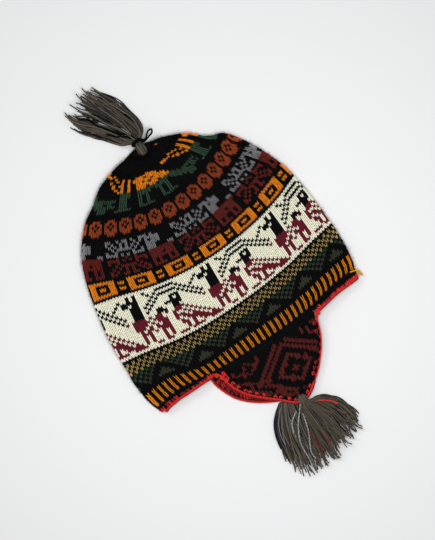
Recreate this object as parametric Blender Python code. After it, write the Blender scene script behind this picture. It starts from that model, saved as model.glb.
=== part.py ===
"""Knitted earflap hat lying on its side, with a gathered top, two earflaps, a corded edging and three tassels.

Units are metres and +Z is up. The crown points to +Y and the earflaps to -Y. One face of the hat lies on the
surface at Z = 0, the other lies over it, and the hollow for the head opens between them at the hem.
"""

import math
from collections import namedtuple

import bmesh
import bpy
from mathutils import Vector

# Driving sizes
BODY_WIDTH = 0.252
BODY_HEIGHT = 0.237
BODY_DEPTH = 0.016
KNIT_WALL = 0.0025
PIECE_GAP = 0.0003

FLAP_WIDTH = 0.113
FLAP_LENGTH = 0.064
FLAP_KNIT = 0.0025
FRONT_FLAP_TIP_LIFT = 0.0070

EDGING_DIAMETER = 0.0028

TOP_KNOB_WIDTH = 0.0105
TOP_KNOB_LENGTH = 0.0130
TOP_KNOB_DEPTH = 0.0090
TOP_NECK_DIAMETER = 0.0070
TOP_TIE_THICKNESS = 0.0022
TOP_TASSEL_LENGTH = 0.069

FLAP_KNOB_WIDTH = 0.0095
FLAP_KNOB_LENGTH = 0.0085
FLAP_KNOB_DEPTH = 0.0074
BACK_KNOB_DEPTH = 0.0050
FLAP_TASSEL_LENGTH = 0.064

LOCK_DIAMETER = 0.0062

# How finely the lofts are divided
POINTS_AROUND = 64
POINTS_ACROSS_FLAP = 13
OUTER_ROWS = 21
INNER_ROWS = 16
FLAP_ROWS = 12
EDGING_STEPS = 17
SHORT_HEM_STEPS = 12
LONG_HEM_STEPS = 22
KNOB_SEGMENTS = 14
KNOB_RINGS = 8
LOCK_STEPS = 6
LOCK_ROUNDNESS = 1
CORD_ROUNDNESS = 2
TIE_STEPS = 16

# How soon a lock spreads sideways and how soon it has come down, as shares of its length
LOCK_SPREAD = 0.35
LOCK_FALL = 0.45

# The crown's sections from the hem to the gathered top. Row is the share of the knitted rows, x columns are
# shares of BODY_WIDTH, y columns shares of BODY_HEIGHT, z columns shares of BODY_DEPTH.
CrownSection = namedtuple("CrownSection", "row front_y back_y left_x left_y right_x right_y top_z fold_z bottom_z")
CROWN_SECTIONS = (
    CrownSection(0.000, 0.009, 0.009, -0.466, 0.004, 0.468, 0.055, 0.84, 0.36, 0.00),
    CrownSection(0.062, 0.061, 0.061, -0.484, 0.090, 0.484, 0.110, 0.88, 0.37, 0.00),
    CrownSection(0.219, 0.219, 0.219, -0.504, 0.290, 0.494, 0.262, 0.97, 0.39, 0.00),
    CrownSection(0.444, 0.444, 0.444, -0.473, 0.541, 0.470, 0.548, 1.00, 0.40, 0.00),
    CrownSection(0.583, 0.582, 0.582, -0.420, 0.717, 0.417, 0.709, 1.00, 0.40, 0.00),
    CrownSection(0.708, 0.709, 0.709, -0.337, 0.835, 0.341, 0.840, 0.97, 0.39, 0.00),
    CrownSection(0.807, 0.800, 0.812, -0.266, 0.888, 0.274, 0.894, 0.92, 0.38, 0.00),
    CrownSection(0.875, 0.861, 0.895, -0.202, 0.937, 0.214, 0.941, 0.85, 0.38, 0.02),
    CrownSection(0.927, 0.899, 0.949, -0.139, 0.962, 0.159, 0.964, 0.78, 0.40, 0.10),
    CrownSection(0.969, 0.924, 0.989, -0.075, 0.977, 0.103, 0.979, 0.71, 0.46, 0.22),
    CrownSection(1.000, 0.941, 1.000, -0.024, 0.979, 0.067, 0.981, 0.66, 0.56, 0.44),
)

# How square the folds are on the face that lies on top and on the one below, how far the lower face sinks flat
# onto the surface, and the row where the hollow ends
UPPER_FULLNESS = 2.8
LOWER_FULLNESS = 5.0
FLAT_REST = 0.00025
HOLLOW_END_ROW = 0.935

# How far the hem rises between the middle of a face and its folds, and the row where that has faded out
HEM_ARCH = 0.0055
HEM_ARCH_END_ROW = 0.0625

# The soft pleats that the gathering draws into the top of the crown
PLEAT_COUNT = 9
PLEAT_DEPTH = 0.0011
PLEAT_START_ROW = 0.70
PLEAT_WAVE_START = 0.1
PLEAT_WAVE_LENGTH = 0.8

# The earflaps' outlines from the hem to the tip: along is the share of FLAP_LENGTH, left and right are shares
# of FLAP_WIDTH from the flap's own middle.
FlapRow = namedtuple("FlapRow", "along left right")
FRONT_FLAP_ROWS = (
    FlapRow(0.00, -0.487, 0.513),
    FlapRow(0.08, -0.480, 0.490),
    FlapRow(0.17, -0.471, 0.469),
    FlapRow(0.31, -0.442, 0.434),
    FlapRow(0.45, -0.389, 0.385),
    FlapRow(0.56, -0.327, 0.332),
    FlapRow(0.69, -0.243, 0.265),
    FlapRow(0.81, -0.159, 0.186),
    FlapRow(0.92, -0.095, 0.115),
    FlapRow(0.98, -0.050, 0.058),
    FlapRow(1.00, -0.022, 0.022),
)
BACK_FLAP_ROWS = (
    FlapRow(0.00, -0.487, 0.487),
    FlapRow(0.08, -0.484, 0.474),
    FlapRow(0.17, -0.476, 0.460),
    FlapRow(0.31, -0.442, 0.425),
    FlapRow(0.45, -0.392, 0.363),
    FlapRow(0.58, -0.313, 0.280),
    FlapRow(0.69, -0.222, 0.186),
    FlapRow(0.77, -0.135, 0.095),
    FlapRow(0.82, -0.070, 0.035),
    FlapRow(0.84, -0.035, 0.000),
)

# Where the flaps' middles are along X, as shares of BODY_WIDTH
FRONT_FLAP_MIDDLE = 0.018
BACK_FLAP_MIDDLE = -0.018

# Where the top knob sits, as a share of BODY_HEIGHT, the rows and the shares of the gathered end that it is let
# down onto, and which way the tassels lie
TOP_KNOB_SEAT = 0.979
SEAT_ROWS = (0.95, 0.975)
SEAT_SHARES = (0.0, 0.25, 0.5, 0.75, 1.0)
TOP_TASSEL_HEADING = (-0.395, 0.918)
FRONT_TASSEL_HEADING = (0.10, -0.995)
BACK_TASSEL_HEADING = (-0.334, -0.942)

# Where the edging turns down from the hem onto a flap, as a share of the flap's rows, and the room it takes for
# that turn, in its own diameters
EDGING_CORNER = 0.06
CORNER_ROOM = 1.5

# Where the necks start in their knobs, as shares of the knob's own sizes, and how long the top neck is past its
# knob, in thicknesses of the tie
TOP_NECK_START = 0.30
TOP_NECK_START_DROP = 0.12
TOP_NECK_END_DROP = 0.30
TOP_NECK_TIES = 2.5
FRONT_NECK_START = 0.25
BACK_NECK_START = 0.20

# A lock's thickness: the share of its diameter at its thinnest, and the part of a half wave that it follows
LOCK_THINNEST = 0.5
LOCK_WAVE_START = 0.10
LOCK_WAVE_LENGTH = 0.75

# The tassels' locks: side is where a lock ends, to the right of the tassel's heading seen from above, reach how
# far along the heading it ends and bow how far it bulges half-way, all as shares of the tassel's length. Level
# is the height of its middle line over the surface, in lock diameters.
Lock = namedtuple("Lock", "side reach bow level")
TOP_LOCKS = (
    Lock(-0.27, 0.98, 0.02, 0.55),
    Lock(-0.22, 1.02, 0.01, 0.62),
    Lock(-0.13, 1.00, 0.01, 0.55),
    Lock(-0.05, 1.04, 0.00, 0.62),
    Lock(0.03, 1.00, 0.02, 0.55),
    Lock(0.11, 1.04, 0.05, 0.62),
    Lock(0.18, 0.98, 0.10, 0.55),
    Lock(0.23, 0.99, 0.15, 0.62),
    Lock(-0.16, 0.92, 0.00, 1.30),
    Lock(-0.02, 0.94, 0.00, 1.40),
    Lock(0.12, 0.90, 0.03, 1.30),
)
FRONT_LOCKS = (
    Lock(-0.53, 0.74, -0.04, 0.55),
    Lock(-0.42, 0.78, -0.05, 0.62),
    Lock(-0.30, 0.86, -0.05, 0.55),
    Lock(-0.19, 0.90, -0.03, 0.62),
    Lock(-0.08, 0.97, -0.02, 0.55),
    Lock(0.02, 0.95, 0.00, 0.62),
    Lock(0.13, 0.99, 0.00, 0.55),
    Lock(0.24, 1.01, 0.00, 0.62),
    Lock(0.34, 1.02, -0.01, 0.62),
    Lock(-0.26, 0.76, -0.04, 1.35),
    Lock(-0.08, 0.84, -0.02, 1.40),
    Lock(0.12, 0.86, 0.00, 1.35),
)
BACK_LOCKS = (
    Lock(0.20, 0.93, 0.14, 0.52),
    Lock(0.14, 1.00, 0.11, 0.58),
    Lock(0.07, 1.04, 0.07, 0.52),
    Lock(0.01, 1.10, 0.03, 0.58),
    Lock(-0.05, 1.12, -0.01, 0.52),
)


def clear_scene():
    """Empty the scene, so the script gives the same model each run."""
    for old in list(bpy.data.objects):
        bpy.data.objects.remove(old, do_unlink=True)


def material(name, color, roughness):
    """A plain matt yarn colour."""
    made = bpy.data.materials.new(name)
    made.use_nodes = True
    shader = made.node_tree.nodes["Principled BSDF"]
    shader.inputs["Base Color"].default_value = (*color, 1.0)
    shader.inputs["Roughness"].default_value = roughness
    made.diffuse_color = (*color, 1.0)
    return made


def smooth_value(knots, values, place):
    """Value at a place along a table column, on a smooth curve through its rows."""
    last = len(knots) - 1
    index = 0
    while index < last - 1 and place > knots[index + 1]:
        index += 1
    start, end = knots[index], knots[index + 1]
    span = end - start
    share = min(max((place - start) / span, 0.0), 1.0)
    before, after = max(index - 1, 0), min(index + 2, last)
    slope_in = (values[index + 1] - values[before]) / (knots[index + 1] - knots[before]) * span
    slope_out = (values[after] - values[index]) / (knots[after] - knots[index]) * span
    square, cube = share ** 2, share ** 3
    return (
        (2 * cube - 3 * square + 1) * values[index]
        + (cube - 2 * square + share) * slope_in
        + (3 * square - 2 * cube) * values[index + 1]
        + (cube - square) * slope_out
    )


def crown_section(row):
    """The crown's section at a share of its rows, in metres."""
    knots = [section.row for section in CROWN_SECTIONS]
    size = {"x": BODY_WIDTH, "y": BODY_HEIGHT, "z": BODY_DEPTH}
    lengths = [
        smooth_value(knots, [getattr(section, column) for section in CROWN_SECTIONS], row) * size[column[-1]]
        for column in CrownSection._fields[1:]
    ]
    return CrownSection(row, *lengths)


def pleat_height(row, across):
    """Rise and fall of the gathered knit at a share of the rows and a place from -1 to 1 across a face."""
    strength = max(0.0, (row - PLEAT_START_ROW) / (1.0 - PLEAT_START_ROW))
    fade = max(0.0, 1.0 - across ** 2) * math.sin(math.pi * (PLEAT_WAVE_START + PLEAT_WAVE_LENGTH * strength))
    return PLEAT_DEPTH * fade * math.cos(PLEAT_COUNT * math.pi * across)


def crown_point(row, turn, inset):
    """Point of the crown at a share of the rows and an angle round the section, moved inwards by inset."""
    section = crown_section(row)
    across = math.cos(turn)
    upper = math.sin(turn) >= 0.0
    half_width = (section.right_x - section.left_x) / 2.0 - inset
    middle_x = (section.right_x + section.left_x) / 2.0
    slant = (section.right_y - section.left_y) / 2.0
    fold_y = (section.right_y + section.left_y) / 2.0
    if upper:
        fullness = (1.0 - abs(across) ** UPPER_FULLNESS) ** (1.0 / UPPER_FULLNESS)
        face_y = section.front_y
        top = section.top_z - inset + pleat_height(row, across)
        z = section.fold_z + (top - section.fold_z) * fullness
    else:
        fullness = (1.0 - abs(across) ** LOWER_FULLNESS) ** (1.0 / LOWER_FULLNESS)
        face_y = section.back_y
        bottom = section.bottom_z + inset
        z = section.fold_z + (bottom - section.fold_z) * fullness
        z = max(inset, z - FLAT_REST * fullness)
    arch = HEM_ARCH * 4.0 * across ** 2 * (1.0 - across ** 2) * max(0.0, 1.0 - row / HEM_ARCH_END_ROW)
    y = face_y + (fold_y - face_y) * across ** 2 + slant * across ** 3 + arch
    return Vector((middle_x + half_width * across, y, z))


def crown_loop(row, inset):
    """One closed loop of the crown's outer or inner surface."""
    return [crown_point(row, 2.0 * math.pi * step / POINTS_AROUND, inset) for step in range(POINTS_AROUND)]


def add_rings(shape, loops):
    """Vertices of a list of loops, one ring each."""
    return [[shape.verts.new(point) for point in loop] for loop in loops]


def skin(shape, pairs):
    """Faces between pairs of rings that have equally many points."""
    for lower, upper in pairs:
        count = len(lower)
        for step in range(count):
            after = (step + 1) % count
            shape.faces.new((lower[step], lower[after], upper[after], upper[step]))


def finish_mesh(name, shape):
    """Turn a bmesh into an object with outward faces and smooth shading."""
    bmesh.ops.triangulate(shape, faces=[face for face in shape.faces if len(face.verts) > 4])
    bmesh.ops.recalc_face_normals(shape, faces=shape.faces)
    mesh = bpy.data.meshes.new(name)
    shape.to_mesh(mesh)
    shape.free()
    made = bpy.data.objects.new(name, mesh)
    mesh.shade_smooth()
    bpy.context.scene.collection.objects.link(made)
    return made


def build_crown():
    """The knitted bag: out over the outer surface to the gathered top, and back down inside to the hem."""
    outer = [crown_loop(step / (OUTER_ROWS - 1), 0.0) for step in range(OUTER_ROWS)]
    inner = [crown_loop(HOLLOW_END_ROW * step / (INNER_ROWS - 1), KNIT_WALL) for step in range(INNER_ROWS)]
    shape = bmesh.new()
    outer_rings = add_rings(shape, outer)
    inner_rings = add_rings(shape, inner)
    skin(shape, zip(outer_rings, outer_rings[1:]))
    skin(shape, zip(inner_rings[1:], inner_rings))
    skin(shape, [(inner_rings[0], outer_rings[0])])
    for ring in (outer_rings[-1], inner_rings[-1]):
        middle = shape.verts.new(sum((vert.co for vert in ring), Vector()) / POINTS_AROUND)
        for step in range(POINTS_AROUND):
            shape.faces.new((ring[step], ring[(step + 1) % POINTS_AROUND], middle))
    return finish_mesh("crown", shape)


def hem_point(turn):
    """Middle of the crown's wall at the hem."""
    return (crown_point(0.0, turn, 0.0) + crown_point(0.0, turn, KNIT_WALL)) / 2.0


def hem_turn(x, upper):
    """Angle round the hem's section at a place along X, on the upper or the lower layer."""
    section = crown_section(0.0)
    middle_x = (section.right_x + section.left_x) / 2.0
    half_width = (section.right_x - section.left_x - KNIT_WALL) / 2.0
    angle = math.acos(max(-1.0, min(1.0, (x - middle_x) / half_width)))
    return angle if upper else 2.0 * math.pi - angle


def flap_edges(rows, middle, share):
    """Left and right edge of a flap at a share of its own rows, and how far along the flap that is."""
    knots = [index / (len(rows) - 1) for index in range(len(rows))]
    along = smooth_value(knots, [row.along for row in rows], share)
    left = smooth_value(knots, [row.left for row in rows], share)
    right = smooth_value(knots, [row.right for row in rows], share)
    middle_x = middle * BODY_WIDTH
    return middle_x + left * FLAP_WIDTH, middle_x + right * FLAP_WIDTH, along


def flap_point(rows, middle, upper, share, across):
    """Middle of a flap's knit at a share of its rows and a place from -1 to 1 across it."""
    left, right, along = flap_edges(rows, middle, share)
    x = (left + right) / 2.0 + (right - left) / 2.0 * across
    seam = hem_point(hem_turn(x, upper))
    bend = (1.0 - along) ** 2
    y = seam.y * bend - PIECE_GAP - along * FLAP_LENGTH
    if upper:
        ease = along * along * (3.0 - 2.0 * along)
        z = seam.z + (FRONT_FLAP_TIP_LIFT - seam.z) * ease
    else:
        z = FLAP_KNIT / 2.0
    return Vector((x, y, z))


def build_flap(name, rows, middle, upper):
    """One earflap, a soft plate lofted from the hem to its tip."""
    loops = []
    for step in range(FLAP_ROWS):
        share = step / (FLAP_ROWS - 1)
        line = [
            flap_point(rows, middle, upper, share, 2.0 * point / (POINTS_ACROSS_FLAP - 1) - 1.0)
            for point in range(POINTS_ACROSS_FLAP)
        ]
        up = Vector((0.0, 0.0, FLAP_KNIT / 2.0))
        loops.append([point + up for point in line] + [point - up for point in reversed(line)])
    shape = bmesh.new()
    rings = add_rings(shape, loops)
    skin(shape, zip(rings, rings[1:]))
    shape.faces.new(rings[0])
    shape.faces.new(rings[-1])
    return finish_mesh(name, shape)


def flap_outline(rows, middle, upper, offset):
    """Path round a flap's free edge from its left corner to its right one, offset outwards."""
    shares = [1.0 - (1.0 - EDGING_CORNER) * step / EDGING_STEPS for step in reversed(range(EDGING_STEPS + 1))]
    left = [flap_point(rows, middle, upper, share, -1.0) for share in shares]
    right = [flap_point(rows, middle, upper, share, 1.0) for share in reversed(shares)]
    edge = left + right
    path = []
    for index, point in enumerate(edge):
        before, after = edge[max(index - 1, 0)], edge[min(index + 1, len(edge) - 1)]
        along = Vector((after.x - before.x, after.y - before.y, 0.0)).normalized()
        path.append(point + offset * Vector((along.y, -along.x, 0.0)))
    return path


def hem_stretch(first, last, steps, offset):
    """Path along the hem between two angles round it, moved below the rim."""
    below = Vector((0.0, -offset, 0.0))
    return [hem_point(first + (last - first) * step / steps) + below for step in range(steps + 1)]


def lie_on_surface(path, diameter):
    """Lift the points of a path where a cord along it would reach below the surface."""
    for point in path:
        point.z = max(point.z, diameter / 2.0 + PIECE_GAP / 2.0)
    return path


def build_edging():
    """The corded edging, one closed run along the hem and round both flaps."""
    offset = EDGING_DIAMETER / 2.0 + PIECE_GAP
    front = flap_outline(FRONT_FLAP_ROWS, FRONT_FLAP_MIDDLE, True, offset)
    back = flap_outline(BACK_FLAP_ROWS, BACK_FLAP_MIDDLE, False, offset)
    clear = CORNER_ROOM * EDGING_DIAMETER
    front_left = hem_turn(front[0].x - clear, True)
    front_right = hem_turn(front[-1].x + clear, True)
    back_left = hem_turn(back[0].x - clear, False)
    back_right = hem_turn(back[-1].x + clear, False)
    path = hem_stretch(math.pi, front_left, SHORT_HEM_STEPS, offset) + front
    path += hem_stretch(front_right, back_right - 2.0 * math.pi, LONG_HEM_STEPS, offset) + list(reversed(back))
    path += hem_stretch(back_left, math.pi, SHORT_HEM_STEPS, offset)[:-1]
    lie_on_surface(path, EDGING_DIAMETER)
    return yarn_tube("edging", path, [1.0] * len(path), EDGING_DIAMETER, CORD_ROUNDNESS, cyclic=True)


def yarn_tube(name, path, radii, diameter, roundness, cyclic=False):
    """A tube through a list of points, as a mesh with welded caps."""
    curve = bpy.data.curves.new(name + "_curve", "CURVE")
    curve.dimensions = "3D"
    curve.bevel_depth = diameter / 2.0
    curve.bevel_resolution = roundness
    curve.use_fill_caps = True
    spline = curve.splines.new("POLY")
    spline.points.add(len(path) - 1)
    spline.use_cyclic_u = cyclic
    for point, place, radius in zip(spline.points, path, radii):
        point.co = (*place, 1.0)
        point.radius = radius
    guide = bpy.data.objects.new(name + "_curve", curve)
    bpy.context.scene.collection.objects.link(guide)
    bpy.context.view_layer.update()
    mesh = bpy.data.meshes.new_from_object(guide.evaluated_get(bpy.context.evaluated_depsgraph_get()))
    bpy.data.objects.remove(guide, do_unlink=True)
    shape = bmesh.new()
    shape.from_mesh(mesh)
    bpy.data.meshes.remove(mesh)
    bmesh.ops.remove_doubles(shape, verts=shape.verts, dist=0.00001)
    return finish_mesh(name, shape)


def knob(name, centre, width, length, depth):
    """The wrapped knob of a tassel."""
    shape = bmesh.new()
    bmesh.ops.create_uvsphere(shape, u_segments=KNOB_SEGMENTS, v_segments=KNOB_RINGS, radius=0.5)
    bmesh.ops.scale(shape, vec=(width, length, depth), verts=shape.verts)
    bmesh.ops.translate(shape, vec=centre, verts=shape.verts)
    return finish_mesh(name, shape)


def lock_path(neck, heading, length, lock):
    """Points of one lock, from the neck out sideways and down to the surface."""
    sideways = Vector((heading.y, -heading.x, 0.0))
    points = []
    for step in range(LOCK_STEPS + 1):
        share = step / LOCK_STEPS
        spread = lock.side * share ** LOCK_SPREAD + lock.bow * math.sin(math.pi * share)
        place = neck + length * (heading * lock.reach * share + sideways * spread)
        fallen = min(1.0, share / LOCK_FALL)
        fallen = fallen * fallen * (3.0 - 2.0 * fallen)
        place.z = neck.z + (lock.level * LOCK_DIAMETER - neck.z) * fallen
        points.append(place)
    return points


def build_tassel(head, neck, heading, length, locks):
    """A knob and its locks, fused into one solid."""
    waves = [math.pi * (LOCK_WAVE_START + LOCK_WAVE_LENGTH * step / LOCK_STEPS) for step in range(LOCK_STEPS + 1)]
    radii = [LOCK_THINNEST + (1.0 - LOCK_THINNEST) * math.sin(wave) for wave in waves]
    direction = Vector((*heading, 0.0)).normalized()
    pieces = []
    for number, lock in enumerate(locks):
        path = lock_path(neck, direction, length, lock)
        pieces.append(yarn_tube(f"{head.name}_lock_{number}", path, radii, LOCK_DIAMETER, LOCK_ROUNDNESS))
    return fuse(head, pieces)


def fuse(body, others):
    """Union of one solid with others, as one mesh object."""
    for other in others:
        modifier = body.modifiers.new("union", "BOOLEAN")
        modifier.operation = "UNION"
        modifier.solver = "MANIFOLD"
        modifier.object = other
        bpy.context.view_layer.update()
        joined = bpy.data.meshes.new_from_object(body.evaluated_get(bpy.context.evaluated_depsgraph_get()))
        body.modifiers.remove(modifier)
        body.data = joined
        bpy.data.objects.remove(other, do_unlink=True)
    return body


def top_knob_centre():
    """Middle of the top knob, let down until it lies on the gathered end of the crown."""
    last = crown_section(1.0)
    centre = Vector(((last.left_x + last.right_x) / 2.0, TOP_KNOB_SEAT * BODY_HEIGHT, 0.0))
    end_loop = crown_loop(1.0, 0.0)
    end_middle = sum(end_loop, Vector()) / POINTS_AROUND
    under = [end_middle.lerp(point, share) for point in end_loop for share in SEAT_SHARES]
    for row in SEAT_ROWS:
        under += crown_loop(row, 0.0)
    for point in under:
        across = (point.x - centre.x) / (TOP_KNOB_WIDTH / 2.0)
        along = (point.y - centre.y) / (TOP_KNOB_LENGTH / 2.0)
        inside = 1.0 - across ** 2 - along ** 2
        if inside > 0.0:
            reach = TOP_KNOB_DEPTH / 2.0 * math.sqrt(inside)
            centre.z = max(centre.z, point.z + PIECE_GAP + reach)
    return centre


def top_neck():
    """Both ends of the top tassel's neck, from inside the knob to where the strands part."""
    centre = top_knob_centre()
    past_knob = TOP_KNOB_LENGTH / 2.0 + TOP_NECK_TIES * TOP_TIE_THICKNESS
    start = centre + Vector((0.0, TOP_KNOB_LENGTH * TOP_NECK_START, -TOP_KNOB_DEPTH * TOP_NECK_START_DROP))
    end = centre + Vector((0.0, past_knob, -TOP_KNOB_DEPTH * TOP_NECK_END_DROP))
    return start, end


def build_top_tassel():
    """Knob, neck and locks at the gathered top."""
    centre = top_knob_centre()
    start, end = top_neck()
    head = knob("top_tassel", centre, TOP_KNOB_WIDTH, TOP_KNOB_LENGTH, TOP_KNOB_DEPTH)
    neck = yarn_tube("neck", [start, end], [1.0, 1.0], TOP_NECK_DIAMETER, CORD_ROUNDNESS)
    fuse(head, [neck])
    return build_tassel(head, end, TOP_TASSEL_HEADING, TOP_TASSEL_LENGTH, TOP_LOCKS)


def build_top_tie():
    """The yarn tied round the neck of the top tassel, a ring clear of the neck."""
    start, end = top_neck()
    along = (end - start).normalized()
    seat = top_knob_centre().y + TOP_KNOB_LENGTH / 2.0 + TOP_TIE_THICKNESS
    middle = start + along * ((seat - start.y) / along.y)
    reach = TOP_NECK_DIAMETER / 2.0 + PIECE_GAP + TOP_TIE_THICKNESS / 2.0
    across = along.cross(Vector((0.0, 0.0, 1.0))).normalized()
    up = across.cross(along)
    path = []
    for step in range(TIE_STEPS):
        turn = 2.0 * math.pi * step / TIE_STEPS
        path.append(middle + reach / math.cos(math.pi / TIE_STEPS) * (math.cos(turn) * across + math.sin(turn) * up))
    return yarn_tube("top_tie", path, [1.0] * TIE_STEPS, TOP_TIE_THICKNESS, CORD_ROUNDNESS, cyclic=True)


def build_front_tassel():
    """Knob and locks of the tassel that is sewn on the tip of the front flap."""
    tip = flap_point(FRONT_FLAP_ROWS, FRONT_FLAP_MIDDLE, True, 1.0, 0.0)
    height = tip.z + EDGING_DIAMETER / 2.0 + PIECE_GAP + FLAP_KNOB_DEPTH / 2.0
    centre = Vector((tip.x, tip.y + PIECE_GAP, height))
    head = knob("flap_tassel_front", centre, FLAP_KNOB_WIDTH, FLAP_KNOB_LENGTH, FLAP_KNOB_DEPTH)
    neck = centre - Vector((0.0, FLAP_KNOB_LENGTH * FRONT_NECK_START, 0.0))
    return build_tassel(head, neck, FRONT_TASSEL_HEADING, FLAP_TASSEL_LENGTH, FRONT_LOCKS)


def build_back_tassel():
    """Knob and locks of the tassel at the tip of the back flap, pressed flat under the front one."""
    tip = flap_point(BACK_FLAP_ROWS, BACK_FLAP_MIDDLE, False, 1.0, 0.0)
    reach = EDGING_DIAMETER + 2.0 * PIECE_GAP + FLAP_KNOB_LENGTH / 2.0
    centre = Vector((tip.x, tip.y - reach, BACK_KNOB_DEPTH / 2.0 + PIECE_GAP))
    head = knob("flap_tassel_back", centre, FLAP_KNOB_WIDTH, FLAP_KNOB_LENGTH, BACK_KNOB_DEPTH)
    neck = centre - BACK_NECK_START * Vector((FLAP_KNOB_WIDTH, FLAP_KNOB_LENGTH, 0.0))
    return build_tassel(head, neck, BACK_TASSEL_HEADING, FLAP_TASSEL_LENGTH, BACK_LOCKS)


def stand_on_origin(pieces):
    """Hang the pieces on an empty that puts the middle of their box, at its foot, on the origin."""
    corners = [piece.matrix_world @ vert.co for piece in pieces for vert in piece.data.vertices]
    low = Vector([min(corner[axis] for corner in corners) for axis in range(3)])
    high = Vector([max(corner[axis] for corner in corners) for axis in range(3)])
    hat = bpy.data.objects.new("hat", None)
    collection = bpy.data.collections.new("Earflap hat")
    bpy.context.scene.collection.children.link(collection)
    collection.objects.link(hat)
    hat.location = (-(low.x + high.x) / 2.0, -(low.y + high.y) / 2.0, -low.z)
    for piece in pieces:
        bpy.context.scene.collection.objects.unlink(piece)
        collection.objects.link(piece)
        piece.parent = hat


def main():
    clear_scene()
    knit_black = material("black_knit", (0.010, 0.010, 0.012), 0.95)
    knit_red = material("red_edging", (0.38, 0.03, 0.03), 0.9)
    yarn_grey = material("tassel_yarn", (0.10, 0.085, 0.07), 0.95)
    pieces = {
        build_crown(): knit_black,
        build_flap("earflap_front", FRONT_FLAP_ROWS, FRONT_FLAP_MIDDLE, True): knit_black,
        build_flap("earflap_back", BACK_FLAP_ROWS, BACK_FLAP_MIDDLE, False): knit_black,
        build_edging(): knit_red,
        build_top_tassel(): yarn_grey,
        build_top_tie(): knit_black,
        build_front_tassel(): yarn_grey,
        build_back_tassel(): yarn_grey,
    }
    for piece, finish in pieces.items():
        piece.data.materials.clear()
        piece.data.materials.append(finish)
    stand_on_origin(list(pieces))


main()
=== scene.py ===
"""Looks of the knitted earflap hat: every stitch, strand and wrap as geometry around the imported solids."""
import math

import bpy
import numpy as np
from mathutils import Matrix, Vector


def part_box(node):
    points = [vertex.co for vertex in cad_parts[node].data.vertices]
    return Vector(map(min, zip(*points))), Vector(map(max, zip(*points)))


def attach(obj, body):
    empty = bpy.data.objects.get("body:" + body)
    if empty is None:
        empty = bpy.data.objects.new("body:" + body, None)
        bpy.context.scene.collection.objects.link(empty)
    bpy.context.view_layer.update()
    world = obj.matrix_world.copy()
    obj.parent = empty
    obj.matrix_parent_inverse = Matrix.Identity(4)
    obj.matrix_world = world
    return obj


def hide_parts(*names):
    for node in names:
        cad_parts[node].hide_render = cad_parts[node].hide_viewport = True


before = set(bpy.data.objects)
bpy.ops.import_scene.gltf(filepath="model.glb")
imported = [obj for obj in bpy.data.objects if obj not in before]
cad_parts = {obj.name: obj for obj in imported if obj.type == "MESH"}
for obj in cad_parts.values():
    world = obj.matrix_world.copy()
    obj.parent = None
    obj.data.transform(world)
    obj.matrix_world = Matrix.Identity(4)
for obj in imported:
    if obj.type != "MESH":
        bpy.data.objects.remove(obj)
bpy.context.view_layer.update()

RANDOM = np.random.default_rng(20)

# The hat's own measures start at the middle of its hem, this far from the frame's origin
HAT_ORIGIN = np.array((0.001209, -0.090607, 0.0))

# Driving sizes, the same as in the part's source
BODY_WIDTH = 0.252
BODY_HEIGHT = 0.237
BODY_DEPTH = 0.016
KNIT_WALL = 0.0025
PIECE_GAP = 0.0003
FLAP_WIDTH = 0.113
FLAP_LENGTH = 0.064
FLAP_KNIT = 0.0025
FRONT_FLAP_TIP_LIFT = 0.0070
EDGING_DIAMETER = 0.0028
HEM_ARCH = 0.0055
HEM_ARCH_END_ROW = 0.0625
PLEAT_COUNT = 9
PLEAT_DEPTH = 0.0011
PLEAT_START_ROW = 0.70
UPPER_FULLNESS = 2.8
LOWER_FULLNESS = 5.0
FLAT_REST = 0.00025

# Sections of the crown: row, front_y, back_y, left_x, left_y, right_x, right_y, top_z, fold_z, bottom_z
SECTIONS = np.array((
    (0.000, 0.009, 0.009, -0.466, 0.004, 0.468, 0.055, 0.84, 0.36, 0.00),
    (0.062, 0.061, 0.061, -0.484, 0.090, 0.484, 0.110, 0.88, 0.37, 0.00),
    (0.219, 0.219, 0.219, -0.504, 0.290, 0.494, 0.262, 0.97, 0.39, 0.00),
    (0.444, 0.444, 0.444, -0.473, 0.541, 0.470, 0.548, 1.00, 0.40, 0.00),
    (0.583, 0.582, 0.582, -0.420, 0.717, 0.417, 0.709, 1.00, 0.40, 0.00),
    (0.708, 0.709, 0.709, -0.337, 0.835, 0.341, 0.840, 0.97, 0.39, 0.00),
    (0.807, 0.800, 0.812, -0.266, 0.888, 0.274, 0.894, 0.92, 0.38, 0.00),
    (0.875, 0.861, 0.895, -0.202, 0.937, 0.214, 0.941, 0.85, 0.38, 0.02),
    (0.927, 0.899, 0.949, -0.139, 0.962, 0.159, 0.964, 0.78, 0.40, 0.10),
    (0.969, 0.924, 0.989, -0.075, 0.977, 0.103, 0.979, 0.71, 0.46, 0.22),
    (1.000, 0.941, 1.000, -0.024, 0.979, 0.067, 0.981, 0.66, 0.56, 0.44),
))
SECTION_SIZES = (1.0,) + tuple({"x": BODY_WIDTH, "y": BODY_HEIGHT, "z": BODY_DEPTH}[c] for c in "yyxyxyzzz")

# Outlines of the flaps: along, left, right
FRONT_FLAP = np.array((
    (0.00, -0.487, 0.513), (0.08, -0.480, 0.490), (0.17, -0.471, 0.469), (0.31, -0.442, 0.434),
    (0.45, -0.389, 0.385), (0.56, -0.327, 0.332), (0.69, -0.243, 0.265), (0.81, -0.159, 0.186),
    (0.92, -0.095, 0.115), (0.98, -0.050, 0.058), (1.00, -0.022, 0.022),
))
BACK_FLAP = np.array((
    (0.00, -0.487, 0.487), (0.08, -0.484, 0.474), (0.17, -0.476, 0.460), (0.31, -0.442, 0.425),
    (0.45, -0.392, 0.363), (0.58, -0.313, 0.280), (0.69, -0.222, 0.186), (0.77, -0.135, 0.095),
    (0.82, -0.070, 0.035), (0.84, -0.035, 0.000),
))
FRONT_FLAP_MIDDLE = 0.018
BACK_FLAP_MIDDLE = -0.018

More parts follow.
